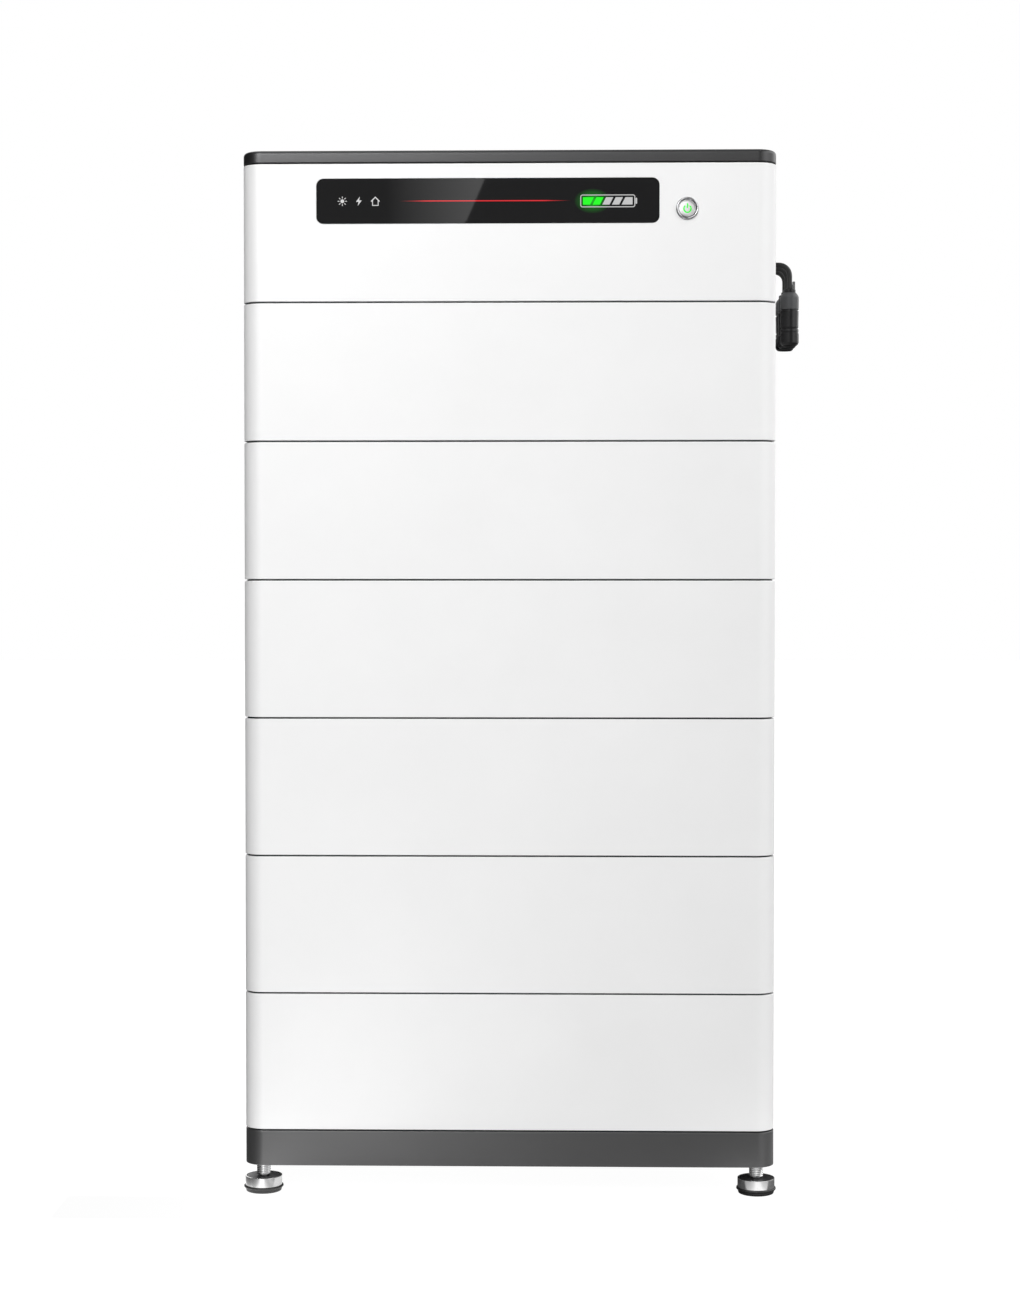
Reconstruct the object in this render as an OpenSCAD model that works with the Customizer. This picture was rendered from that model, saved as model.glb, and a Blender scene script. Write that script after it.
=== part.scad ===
/* [Cabinet] */
// Width of the stack, side panel to side panel
cab_w = 600; // [500:1:720]
// Depth from the button ring to the wall
overall_d = 380; // [330:1:440]
// Space between the back panels and the wall
wall_gap = 15; // [12:0.5:30]
// Radius of the upright corners
corner_r = 22; // [16:0.5:26]
// Thickness of the case sheet
sheet_t = 1.5; // [1.2:0.1:1.8]

/* [Stack] */
// Number of battery modules
module_count = 6; // [1:1:6]
// Height of one module case
module_h = 154.1; // [130:0.1:190]
// Height of the control unit case
control_h = 154.1; // [145:0.1:190]
// Height of the lid
lid_h = 14; // [12:0.5:24]
// Shadow gap under the lid
lid_gap = 1; // [0.6:0.1:2]
// Height of the base plinth
base_h = 39.5; // [38:0.5:60]
// Thickness of the gasket between two cases
seam = 1.5; // [1:0.1:3]

/* [Levelling feet] */
// Height of the base above the floor, as set
foot_h = 35; // [32:0.5:48]
// Diameter of the foot's steel cup
cup_d = 42; // [36:0.5:46]
// Diameter of the rubber ring on the cup
ring_d = 45; // [40:0.5:48]
// Thread diameter of the foot stud
stud_d = 16; // [14:0.5:16]
// Distance from the side panel to the stud's axis
foot_inset_x = 19; // [18:0.5:30]
// Distance from the front panel to the stud's axis
foot_inset_y = 28.5; // [26:0.5:40]

/* [Battery cells] */
// Width of one cell
cell_w = 148; // [120:1:152]
// Thickness of one cell
cell_t = 36; // [27:0.5:44]
// Height of one cell, without its terminals
cell_h = 112; // [90:1:114]
// Gap between two cells
cell_gap = 0.7; // [0.5:0.1:1]
// Room between the side panel and the cells
side_room = 40; // [36:1:50]

/* [Module fittings] */
// Width of a hand grip along the depth
grip_w = 110; // [90:1:130]
// Height of a hand grip
grip_h = 34; // [28:1:40]
// Depth of a hand grip into the case
grip_d = 24; // [18:1:26]
// Height of the grip's centre above the case floor
grip_rise = 104; // [100:1:110]
// Diameter of a locating pin
pin_d = 12; // [8:0.5:12]
// Distance from the panels to the pin axes
pin_inset = 24; // [23:0.5:25]
// Width of the gasket frame
gasket_w = 12; // [8:0.5:16]
// Width of the plug that joins one case to the next
plug_w = 70; // [50:1:80]

/* [Display and button] */
// Width of the display glass
glass_w = 384; // [300:1:390]
// Height of the display glass
glass_h = 50.5; // [40:0.5:54]
// Corner radius of the display glass
glass_r = 8; // [4:0.5:12]
// Place of the glass across the front, from the middle
glass_x = -23.7; // [-40:0.1:-20]
// Height of the glass centre above the control unit's floor
glass_rise = 112.1; // [105:0.1:115]
// Distance that the glass stands proud of the panel
glass_proud = 0.4; // [0.2:0.1:1]
// Diameter of the button ring
ring_button_d = 25.4; // [22:0.1:28]
// Distance that the button ring stands proud of the panel
ring_proud = 2; // [1:0.1:3]
// Diameter of the button cap
cap_d = 18.8; // [16:0.1:19]
// Place of the button across the front, from the middle
button_x = 199.5; // [190:0.1:205]
// Height of the button's axis above the control unit's floor
button_rise = 102.8; // [95:0.1:110]
// Travel of the button
button_travel = 2; // [1:0.1:3]

/* [Breaker hatch] */
// Width of the hatch mouth along the depth
hatch_w = 84; // [80:1:90]
// Height of the hatch mouth
hatch_h = 96; // [90:1:98]
// Place of the hatch behind the middle of the case
hatch_y = 81.5; // [70:0.5:85]
// Thickness of the hatch's flap
flap_t = 2; // [1.5:0.1:2.5]

/* [Pigtails] */
// Number of pigtail cables
pigtail_count = 3; // [1:1:3]
// Cable diameter
cable_d = 6; // [5:0.5:7]
// Distance from the front panel to the first cable
cable_y = 90.5; // [80:0.5:95]
// Distance between two cables
cable_step = 30; // [24:1:32]
// Height of the cable exit above the control unit's floor
cable_rise = 51.4; // [46:0.1:60]

/* [Hidden] */
$fn = 64;
fit = 0.05;                       // radial clearance of a running fit
slip = 0.3;                       // clearance between loose neighbours
front_y = ring_proud - overall_d / 2;
back_y = overall_d / 2 - wall_gap;
case_d = back_y - front_y;
mid_y = (front_y + back_y) / 2;
pitch = module_h + seam;
base_z = foot_h;
deck_z = base_z + base_h;
control_z = deck_z + seam + module_count * pitch;
lid_z = control_z + control_h + lid_gap;
cover_t = sheet_t;
ledge_w = 12;
foot_x = cab_w / 2 - foot_inset_x;
foot_y = case_d / 2 - foot_inset_y;
pin_r = pin_d / 2;
pin_x = cab_w / 2 - pin_inset;
pin_y = case_d / 2 - pin_inset;
pin_h = seam + sheet_t + 6;
plug_d = 26;
socket_w = plug_w + 12;
socket_d = plug_d + 12;
plug_y = mid_y + case_d / 2 - 62;
tongue_w = plug_w - 16;
tongue_d = plug_d - 10;
mat_t = 4.5;
end_t = 8;
cell_z = sheet_t + mat_t;
cell_step = cell_t + cell_gap;
row_x = cab_w / 2 - side_room - cell_w / 2;
aisle_w = 2 * row_x - cell_w;
end_room = 10;
cells_per_row = floor((case_d - 2 * (sheet_t + end_t + end_room)) / cell_step);
terminal_h = 5;
terminal_x = cell_w / 2 - 24;
lock_w = 24;
lock_h = 56;
lock_t = 2;
lock_y = case_d / 2 - 30;
lock_rise = 18;
screw_r = 2.5;
screw_hole_r = screw_r + fit;
cable_r = cable_d / 2;
cable_x = cab_w / 2;
cable_z = control_z + cable_rise;
gland_l = 6;
lip_out = 3.4;
hatch_x = cab_w / 2;
hatch_wall = 4;
tray_d = 42;
hatch_z = control_z + control_h / 2 + 3.3;
tray_y = mid_y + hatch_y;
lever_x = hatch_x - 34;
lever_r = 7;
lever_w = 40;
lever_pin_r = 2;
lever_lean = 40;
handle_l = 20;
handle_t = 5;
hinge_x = hatch_x + 0.9;
hinge_z = hatch_z + hatch_h / 2 - 3.7;
hinge_r = 2.2;
hinge_pin_r = 1.2;
bracket_x = cab_w / 2 - 100;
bracket_w = 40;
bracket_h = 50;
bracket_z = control_z + control_h - 62;
bracket_t = sheet_t + 0.5;
bracket_screw = 15;               // bracket screws above and below the bracket's middle
anchor_r = 4.5;
wall_y = overall_d / 2;
module_ids = [for (i = [1:module_count]) i];
// Points of one pigtail's route, from its gland's nose; x is outwards, z is upwards
pigtail_route = [
    [0, 0], [2, 0], [4, 0], [7.1, -0.4], [10, -1.6],
    [12.5, -3.5], [14.4, -6], [15.6, -8.9], [16, -12], [16, -15],
    [16, -18], [16, -21], [16, -24], [16, -26], [16, -27.5]];

// ---- shared shapes ----
// Rounded rectangle, the plan of every case, shrunk by inset
module plan(inset = 0) {
    w = cab_w - 2 * inset;
    d = case_d - 2 * inset;
    r = corner_r - inset;
    translate([0, mid_y]) rounded(w, d, max(r, 2));
}

module rounded(w, d, r) {
    square([w - 2 * r, d], center = true);
    square([w, d - 2 * r], center = true);
    for (x = [-1, 1], y = [-1, 1])
        translate([x * (w / 2 - r), y * (d / 2 - r)]) circle(r);
}

module slab(z, h, inset = 0) translate([0, 0, z]) linear_extrude(h) plan(inset);

module box(x0, y0, z0, w, d, h) translate([x0, y0, z0]) cube([w, d, h]);

// Box centred on a point in x and y, standing on z
module block(x, y, z, w, d, h) translate([x - w / 2, y - d / 2, z]) cube([w, d, h]);

// Cylinder along +Y or +X, starting at the given point
module rod_y(x, y, z, r, l, r2 = undef)
    translate([x, y, z]) rotate([-90, 0, 0]) cylinder(r1 = r, r2 = is_undef(r2) ? r : r2, h = l);
module rod_x(x, y, z, r, l, r2 = undef)
    translate([x, y, z]) rotate([0, 90, 0]) cylinder(r1 = r, r2 = is_undef(r2) ? r : r2, h = l);

module at_corners(x, y) for (i = [-1, 1], j = [-1, 1]) translate([i * x, mid_y + j * y]) children();

// Heights of the floors of every module, and of the control unit
function floor_z(i) = deck_z + seam + (i - 1) * pitch;
all_floors = [for (i = [1:module_count + 1]) floor_z(i)];
module_floors = [for (i = module_ids) floor_z(i)];

// Holes that take the locating pins and the plug's tongue, in a floor at height z
module floor_holes(z) {
    at_corners(pin_x, pin_y) translate([0, 0, z - 1]) cylinder(r = pin_r + slip, h = sheet_t + 2);
    block(0, plug_y, z - 1, tongue_w + 4, tongue_d + 4, sheet_t + 2);
}

// Screw holes through both side panels, for the lock plates above and below
module lock_holes(z, h, low = true, high = true) {
    heights = concat(low ? [lock_rise] : [], high ? [h - lock_rise] : []);
    for (s = [-1, 1], v = heights)
        rod_x(s * cab_w / 2 - 10, mid_y + lock_y, z + v, screw_hole_r, 20);
}

// ---- base ----
module base_skirt() color([0.27, 0.28, 0.29]) difference() {
    slab(base_z, base_h);
    slab(base_z + sheet_t, base_h, sheet_t);
    slab(base_z - 1, base_h, sheet_t + 8);
    lock_holes(base_z, base_h, low = false);
}

module base_deck() color([0.27, 0.28, 0.29]) difference() {
    slab(deck_z - cover_t, cover_t, sheet_t + slip / 2);
    block(0, plug_y, deck_z - 5, socket_w + slip, socket_d + slip, 10);
}

module base_rails() color([0.6, 0.6, 0.62]) difference() {
    for (s = [-1, 1]) intersection() {
        slab(base_z + sheet_t, 4, sheet_t + slip / 2);
        block(0, mid_y + s * foot_y, base_z, cab_w, 2 * foot_inset_y - 6, 20);
    }
    at_corners(foot_x, foot_y) translate([0, 0, base_z - 1]) cylinder(d = stud_d + 2, h = 20);
}

nut_z = base_z + sheet_t + 4;
nut_h = 12;
module foot_nuts() color([0.7, 0.7, 0.72]) at_corners(foot_x, foot_y) translate([0, 0, nut_z])
    difference() {
        rotate(30) cylinder(r = stud_d / 2 + 5.8, h = nut_h, $fn = 6);
        translate([0, 0, -1]) cylinder(r = stud_d / 2 + fit, h = nut_h + 2);
    }

// ---- levelling feet, 1 and 2 in front, 3 and 4 behind ----
cup_h = 17.6;
pad_h = 5.5;
foot_travel = 10;                 // how far a foot screws in or out from here
stud_top = deck_z - cover_t - foot_travel - 1;
neck_z = cup_h - 6;
module at_foot(i)
    translate([(i % 2 == 1 ? -1 : 1) * foot_x, mid_y + (i <= 2 ? -1 : 1) * foot_y]) children();

module foot_stud(i) color([0.75, 0.75, 0.76]) at_foot(i) {
    translate([0, 0, neck_z]) cylinder(d = stud_d - 5, h = cup_h - neck_z + 1);
    translate([0, 0, cup_h + 1]) cylinder(d1 = stud_d - 3, d2 = stud_d, h = 1.5);
    translate([0, 0, cup_h + 2.5]) cylinder(d = stud_d, h = stud_top - cup_h - 4);
    translate([0, 0, stud_top - 1.5]) cylinder(d1 = stud_d, d2 = stud_d - 3, h = 1.5);
}

module foot_cup(i) color([0.8, 0.8, 0.8]) at_foot(i) difference() {
    rotate_extrude() polygon([
        [0, 0], [cup_d / 2 - 1.5, 0], [cup_d / 2 - 1, pad_h], [ring_d / 2 - 0.6, pad_h],
        [ring_d / 2, pad_h + 1.2], [ring_d / 2, pad_h + 2.8], [ring_d / 2 - 0.6, pad_h + 4],
        [cup_d / 2, pad_h + 4], [cup_d / 2, cup_h - 2.5], [cup_d / 2 - 1.5, cup_h - 1],
        [cup_d / 2 - 4, cup_h], [0, cup_h]]);
    translate([0, 0, neck_z - fit]) cylinder(d = stud_d - 5 + 2 * fit, h = 20);
}

// ---- battery modules ----
module grip_pocket(z, s, grow = 0) {
    w = grip_w + 2 * grow;
    h = grip_h + 2 * grow;
    x = s > 0 ? cab_w / 2 - grip_d - grow : -cab_w / 2 - 1 + grow;
    box(x, mid_y - w / 2, z + grip_rise - h / 2, grip_d + 1, w, h);
}

module module_case(i) color([0.95, 0.95, 0.95]) difference() {
    z = floor_z(i);
    union() {
        difference() {
            slab(z, module_h);
            slab(z + sheet_t, module_h, sheet_t);
        }
        difference() {
            slab(z + module_h - cover_t - sheet_t, sheet_t, sheet_t / 2);
            slab(z + module_h - 20, 40, sheet_t + ledge_w);
        }
        intersection() {
            for (s = [-1, 1]) grip_pocket(z, s, sheet_t);
            slab(z, module_h);
        }
    }
    for (s = [-1, 1]) grip_pocket(z, s);
    floor_holes(z);
    lock_holes(z, module_h);
}

module cell(x, y, z) {
    block(x, y, z, cell_w, cell_t, cell_h);
    for (s = [-1, 1])
        translate([x + s * terminal_x, y, z + cell_h]) cylinder(r = 9, h = terminal_h, $fn = 32);
}

function cell_y(k) = mid_y + (k - (cells_per_row - 1) / 2) * cell_step;

module module_cells(i) color([0.2, 0.42, 0.62])
    for (s = [-1, 1], k = [0:cells_per_row - 1]) cell(s * row_x, cell_y(k), floor_z(i) + cell_z);

module module_covers() color([0.75, 0.76, 0.77]) for (z = module_floors) difference() {
    slab(z + module_h - cover_t, cover_t, sheet_t + slip / 2);
    block(0, plug_y, z + module_h - 5, socket_w + slip, socket_d + slip, 10);
}

module stack_gaskets() color([0.1, 0.1, 0.1]) for (z = all_floors) difference() {
    slab(z - seam, seam, 3);
    slab(z - seam - 1, seam + 2, 3 + gasket_w);
}

module locating_pins() color([0.7, 0.7, 0.72]) for (z = all_floors) at_corners(pin_x, pin_y)
    translate([0, 0, z - seam]) {
        cylinder(r = pin_r, h = pin_h - 2);
        translate([0, 0, pin_h - 2]) cylinder(r1 = pin_r, r2 = pin_r - 2, h = 2);
    }

// A plug stands on a floor and its tongue hangs through it into the socket below
module power_plugs() color([0.12, 0.12, 0.13]) for (z = all_floors) {
    block(0, plug_y, z + sheet_t, plug_w, plug_d, 24);
    block(0, plug_y, z - seam - 12, tongue_w, tongue_d, 14 + seam + sheet_t);
}

module power_sockets() color([0.85, 0.45, 0.12]) for (z = all_floors) difference() {
    top = z - seam;
    block(0, plug_y, top - 22, socket_w, socket_d, 22);
    block(0, plug_y, top - 14, tongue_w + 1.5, tongue_d + 1.5, 20);
}

module cell_mats() color([0.35, 0.36, 0.38]) for (z = module_floors, s = [-1, 1])
    block(s * row_x, mid_y, z + sheet_t, cell_w, cells_per_row * cell_step - cell_gap, mat_t);

end_y = (cells_per_row * cell_step + end_t) / 2;
module end_plates() color([0.7, 0.72, 0.74]) for (z = module_floors, s = [-1, 1], e = [-1, 1])
    block(s * row_x, mid_y + e * end_y, z + sheet_t, cell_w, end_t, cell_h);

module busbars() color([0.8, 0.5, 0.2]) for (z = module_floors, s = [-1, 1]) {
    bar_z = z + cell_z + cell_h + terminal_h;
    for (k = [0:cells_per_row - 2])
        block(s * row_x + (k % 2 == 0 ? 1 : -1) * terminal_x, (cell_y(k) + cell_y(k + 1)) / 2, bar_z,
            18, cell_step + 18, 2);
}

// A folded tray over the aisle carries each module's board
tray_rise = 62;
tray_w = aisle_w - 44;
tray_front = front_y + 26.5;
tray_back = plug_y - plug_d / 2 - 71.5;
tray_l = tray_back - tray_front;
tray_mid = (tray_front + tray_back) / 2;
chips = floor((tray_w - 40) / 32);
module board_trays() color([0.72, 0.73, 0.75])
for (z = module_floors) translate([0, tray_mid, z + sheet_t]) {
    block(0, 0, tray_rise, tray_w, tray_l, sheet_t);
    for (s = [-1, 1]) {
        block(s * (tray_w - sheet_t) / 2, 0, 0, sheet_t, tray_l, tray_rise + sheet_t / 2);
        block(s * (tray_w / 2 - 8), 0, 0, 16, tray_l, sheet_t);
        for (e = [-1, 1]) translate([s * (tray_w / 2 - 14), e * (tray_l / 2 - 14), tray_rise])
            cylinder(r = 4, h = 9, $fn = 24);
    }
}

module module_boards() color([0.1, 0.4, 0.2]) for (z = module_floors)
    translate([0, tray_mid, z + sheet_t + tray_rise + 9]) {
        block(0, 0, 0, tray_w - 12, tray_l - 12, 1.6);
        for (k = [0:chips - 1]) block((k - (chips - 1) / 2) * 32, tray_l / 2 - 50, 1.5, 14, 16, 8.1);
        block(-tray_w / 6, -20, 1.5, 34, 34, 3);
        block(tray_w * 2 / 9, -20, 1.5, 30, 18, 12);
        block(0, 19 - tray_l / 2, 1.5, min(80, tray_w - 20), 12, 10);
    }

// ---- what holds the stack together ----
module lock_plates() color([0.72, 0.73, 0.75]) for (z = all_floors, s = [-1, 1]) difference() {
    block(s * (cab_w + lock_t) / 2, mid_y + lock_y, z - seam / 2 - lock_h / 2, lock_t, lock_w, lock_h);
    for (v = [-seam - lock_rise, lock_rise])
        rod_x(s * cab_w / 2 - 10, mid_y + lock_y, z + v, screw_hole_r, 20);
}

module screw_x(s, z) {
    face = s * (cab_w / 2 + lock_t);
    rod_x(min(face, face + s * 1.4), mid_y + lock_y, z, 4, 1.4);
    rod_x(min(face, face - s * 12), mid_y + lock_y, z, screw_r, 12);
}

module case_screws() color([0.6, 0.6, 0.62]) {
    for (z = all_floors, s = [-1, 1], v = [-seam - lock_rise, lock_rise]) screw_x(s, z + v);
    for (s = [-1, 1], v = [-1, 1]) {
        z = bracket_z + v * bracket_screw;
        rod_y(s * bracket_x, back_y - 8, z, screw_r, 8 + sheet_t + 1);
        rod_y(s * bracket_x, back_y + bracket_t, z, 5, 3);
    }
}

// ---- control unit ----
module control_case() color([0.95, 0.95, 0.95]) difference() {
    union() {
        difference() {
            slab(control_z, control_h);
            slab(control_z - 1, control_h + 2, sheet_t);
        }
        for (z = [control_z + sheet_t, control_z + control_h - sheet_t]) difference() {
            slab(z, sheet_t, sheet_t / 2);
            slab(z - 5, 20, sheet_t + ledge_w);
        }
    }
    translate([glass_x, front_y - 1, control_z + glass_rise]) rotate([-90, 0, 0])
        linear_extrude(sheet_t + 2) rounded(glass_w + slip, glass_h + slip, glass_r);
    rod_y(button_x, front_y - 1, control_z + button_rise, barrel_r + slip, 10);
    for (i = [1:pigtail_count]) rod_x(cable_x - 5, pigtail_y(i), cable_z, thread_r + fit, 10);
    block(hatch_x, tray_y, hatch_z - hatch_h / 2 - hatch_wall - slip / 2, 10,
        hatch_w + 2 * hatch_wall + slip, hatch_h + 2 * hatch_wall + slip);
    for (s = [-1, 1], v = [-1, 1])
        rod_y(s * bracket_x, back_y - 5, bracket_z + v * bracket_screw, screw_hole_r, 10);
    lock_holes(control_z, control_h, high = false);
}

module control_floor() color([0.75, 0.76, 0.77]) difference() {
    slab(control_z, sheet_t, sheet_t + slip / 2);
    floor_holes(control_z);
}

module top_lid() color([0.27, 0.28, 0.29]) difference() {
    union() {
        slab(lid_z, lid_h - 3);
        hull() {
            slab(lid_z + lid_h - 3, 1, 0);
            slab(lid_z + lid_h - 1, 1, 2);
        }
        difference() {
            slab(lid_z - lid_gap, lid_gap + 2, 4);
            slab(lid_z - 10, 20, 7);
        }
    }
    slab(lid_z - 1, lid_h - 3, 7);
}

carrier_t = 4;
module display_glass() color([0.05, 0.05, 0.06])
    translate([glass_x, front_y - glass_proud, control_z + glass_rise]) rotate([-90, 0, 0])
        linear_extrude(glass_proud + sheet_t) rounded(glass_w, glass_h, glass_r);

light_x = glass_x + glass_w / 2 - 58;
module display_carrier() color([0.15, 0.15, 0.16])
    translate([0, front_y + sheet_t, control_z + glass_rise]) rotate([-90, 0, 0]) difference() {
        translate([glass_x, 0]) linear_extrude(carrier_t) rounded(glass_w + 12, glass_h + 12, glass_r + 4);
        for (k = [-2:2]) block(light_x + k * 11, 0, -1, 7.5, 9, 10);
        block(glass_x, 0, -1, glass_w / 2, 5, 10);
    }

board_y = front_y + sheet_t + carrier_t;
module indicator_board() color([0.1, 0.4, 0.2]) {
    block(glass_x, board_y + 2.8, control_z + glass_rise - glass_h / 2 + 4, glass_w - 20, 1.6, glass_h - 8);
    for (k = [-2:2]) block(light_x + k * 11, board_y + 1.1, control_z + glass_rise - 2, 5, 1.9, 4);
    for (k = [-4:4]) block(glass_x + k * 21, board_y + 1.1, control_z + glass_rise - 1.5, 3.5, 1.9, 3);
    for (s = [-1, 1]) rod_y(glass_x + s * (glass_w / 2 - 30), board_y, control_z + glass_rise, 3, 3);
}

barrel_r = 10.9;
barrel_l = 22;
cap_r = cap_d / 2;
cap_t = 5;
stem_r = 3.5;
module button_bezel() color([0.8, 0.8, 0.8]) translate([0, 0, control_z + button_rise]) difference() {
    union() {
        rod_y(button_x, front_y - ring_proud, 0, ring_button_d / 2 - 0.8, 0.8, ring_button_d / 2);
        rod_y(button_x, front_y - ring_proud + 0.8, 0, ring_button_d / 2, ring_proud - 0.8);
        rod_y(button_x, front_y, 0, barrel_r, barrel_l);
    }
    rod_y(button_x, front_y - 5, 0, cap_r + fit, 5 + cap_t + button_travel + 3);
    rod_y(button_x, front_y, 0, stem_r + fit, barrel_l + 5);
}

cap_y = front_y - ring_proud + 0.6;
module button_cap() color([0.85, 0.86, 0.86]) translate([0, 0, control_z + button_rise]) {
    rod_y(button_x, cap_y, 0, cap_r, cap_t);
    rod_y(button_x, cap_y + cap_t, 0, stem_r, front_y + barrel_l - cap_y - cap_t);
}

module button_switch() color([0.1, 0.1, 0.1]) translate([0, 0, control_z + button_rise]) difference() {
    block(button_x, front_y + barrel_l + 9, -10, 20, 18, 20);
    rod_y(button_x, front_y + barrel_l - 1, 0, stem_r + 0.5, button_travel + 2);
}

// The tray is let into the right side panel, with the breaker's nose in its back wall
nose_w = 54;
nose_h = 45;
module breaker_tray() color([0.2, 0.2, 0.21]) translate([hatch_x, tray_y, hatch_z]) difference() {
    union() {
        block(lip_out - (tray_d + lip_out) / 2, 0, -hatch_h / 2 - hatch_wall, tray_d + lip_out,
            hatch_w + 2 * hatch_wall, hatch_h + 2 * hatch_wall);
        block(-sheet_t - 1.5, 0, -hatch_h / 2 - 8, 3, hatch_w + 16, hatch_h + 16);
    }
    block(lip_out - tray_d / 2 + 2, 0, -hatch_h / 2, tray_d + lip_out, hatch_w, hatch_h);
    block(-tray_d, 0, -nose_h / 2 - slip, 10, nose_w + 2 * slip, nose_h + 2 * slip);
    rod_y(hinge_x - hatch_x, -hatch_w / 2 - hatch_wall - 1, hinge_z - hatch_z, hinge_pin_r + fit,
        hatch_w + 2 * hatch_wall + 2);
}

module breaker_body() color([0.9, 0.9, 0.9]) translate([hatch_x, tray_y, hatch_z]) difference() {
    union() {
        block(-tray_d - 30, 0, -45, 60, nose_w, 90);
        block(-tray_d + 4.5, 0, -nose_h / 2, 11, nose_w, nose_h);
    }
    rod_y(lever_x - hatch_x, -lever_w / 2 - slip, 0, lever_r + slip, lever_w + 2 * slip);
    rod_y(lever_x - hatch_x, -lever_w / 2 - 5, 0, lever_pin_r + fit, lever_w + 10);
}

module breaker_lever() color([0.1, 0.1, 0.1]) translate([lever_x, tray_y, hatch_z]) {
    rod_y(0, -lever_w / 2, 0, lever_r, lever_w);
    rod_y(0, -lever_w / 2 - 4, 0, lever_pin_r, lever_w + 8);
    rotate([0, -lever_lean, 0])
        block(lever_r + handle_l / 2 - 2, 0, -handle_t / 2, handle_l, lever_w - 2, handle_t);
}

module breaker_flap() color([0.55, 0.6, 0.62]) translate([hinge_x, tray_y, hinge_z]) {
    drop = hinge_z - hatch_z + hatch_h / 2 - 1;
    block(0, 0, -drop, flap_t, hatch_w - 1.2, drop);
    rod_y(0, 0.6 - hatch_w / 2, 0, hinge_r, hatch_w - 1.2);
    rod_y(0, -hatch_w / 2 - 3, 0, hinge_pin_r, hatch_w + 6);
    block(0.7, 0, 3 - drop, 3, 26, 3);
}

// The board fills the floor between the left panel, the contactors and the plug
board_w = cab_w - 270;
board_front = mid_y - 100;
board_l = plug_y - plug_d / 2 - 6.5 - board_front;
board_x = 45 + board_w / 2 - cab_w / 2;
module control_board() color([0.1, 0.4, 0.2])
    translate([board_x, board_front + board_l / 2, control_z + sheet_t]) {
        for (x = [-1, 1], y = [-1, 1]) translate([x * (board_w / 2 - 15), y * (board_l / 2 - 15), 0])
            cylinder(r = 4, h = 14.2, $fn = 24);
        block(0, 0, 14, board_w, board_l, 1.6);
        for (k = [0:2]) translate([45 - board_w / 2 + k * 40, board_l / 2 - 50, 15])
            cylinder(r = 15, h = 38, $fn = 40);
        for (k = [-3:3]) block(board_w / 2 - 90 + k * 10, 35 - board_l / 2 + 45, 15, 3, 90, 40);
        block(board_w / 2 - 90, 35 - board_l / 2 + 45, 15, 63, 90, 6);
        block(65 - board_w / 2, 50 - board_l / 2, 15, 50, 50, 6);
    }

contactor_y = mid_y + 110;
contactor_h = 62;
module contactors() color([0.12, 0.12, 0.13]) for (x = [hatch_x - 188, hatch_x - 128]) {
    block(x, contactor_y, control_z + sheet_t, 50, 70, contactor_h);
    for (y = [-15, 15]) translate([x, contactor_y + y, control_z + sheet_t + contactor_h - 2])
        cylinder(r = 6, h = 14, $fn = 32);
}

module main_fuse() color([0.9, 0.88, 0.82]) {
    translate([hatch_x - 158, mid_y + 35, control_z + sheet_t]) {
        block(0, 0, 0, 120, 30, 16);
        rod_x(-40, 0, 30, 13, 80);
        for (s = [-1, 1]) block(s * 46, 0, 15.5, 14, 24, 32);
    }
}

// Two stepped brackets tie the control unit back to the wall
module wall_brackets() color([0.72, 0.73, 0.75]) for (s = [-1, 1]) difference() {
    low = bracket_z - bracket_h / 2;
    web_x = bracket_x + (bracket_w + bracket_t) / 2;
    foot_in = bracket_x + bracket_w + bracket_t;
    union() {
        block(s * bracket_x, back_y + bracket_t / 2, low, bracket_w, bracket_t, bracket_h);
        block(s * web_x, (back_y + wall_y) / 2, low, bracket_t + 0.2, wall_y - back_y, bracket_h);
        block(s * foot_in, wall_y - bracket_t / 2, low, bracket_w, bracket_t, bracket_h);
    }
    for (v = [-1, 1])
        rod_y(s * bracket_x, back_y - 5, bracket_z + v * bracket_screw, screw_hole_r, 10);
    rod_y(s * (foot_in + 4), wall_y - 10, bracket_z, anchor_r, 20);
}

// ---- pigtails ----
thread_r = 6;
function pigtail_y(i) = front_y + cable_y + (i - 1) * cable_step;

module cable_glands() color([0.12, 0.12, 0.13]) for (i = [1:pigtail_count]) {
    y = pigtail_y(i);
    rod_x(cable_x - 12, y, cable_z, thread_r, 12.5);
    translate([cable_x, y, cable_z]) rotate([0, 90, 0]) cylinder(r = 8.6, h = 2.5, $fn = 6);
    rod_x(cable_x + 2.4, y, cable_z, 7, gland_l - 2.4, 4.2);
    translate([cable_x - sheet_t - 4, y, cable_z]) rotate([0, 90, 0]) cylinder(r = 8.6, h = 4, $fn = 6);
}

sides = 10;
function route_dir(k) = let (n = len(pigtail_route) - 1,
    a = pigtail_route[max(k - 1, 0)], b = pigtail_route[min(k + 1, n)], v = b - a) v / norm(v);
function tube_ring(k, y) = let (
    p = pigtail_route[k],
    t = k == len(pigtail_route) - 1 ? [0, -1] : route_dir(k))
    [for (j = [0:sides - 1]) let (a = 360 * j / sides)
        [cable_x + gland_l + p[0] - cable_r * cos(a) * t[1], y + cable_r * sin(a),
         cable_z + p[1] + cable_r * cos(a) * t[0]]];

module pigtail(i) color([0.08, 0.08, 0.08]) {
    y = pigtail_y(i);
    rings = len(pigtail_route);
    points = [for (k = [0:rings - 1]) each tube_ring(k, y)];
    walls = [for (k = [0:rings - 2], j = [0:sides - 1]) let (n = (j + 1) % sides)
        [k * sides + j, k * sides + n, (k + 1) * sides + n, (k + 1) * sides + j]];
    ends = [[for (j = [sides - 1:-1:0]) j], [for (j = [0:sides - 1]) (rings - 1) * sides + j]];
    polyhedron(points, concat(walls, ends), convexity = 6);
}

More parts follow.
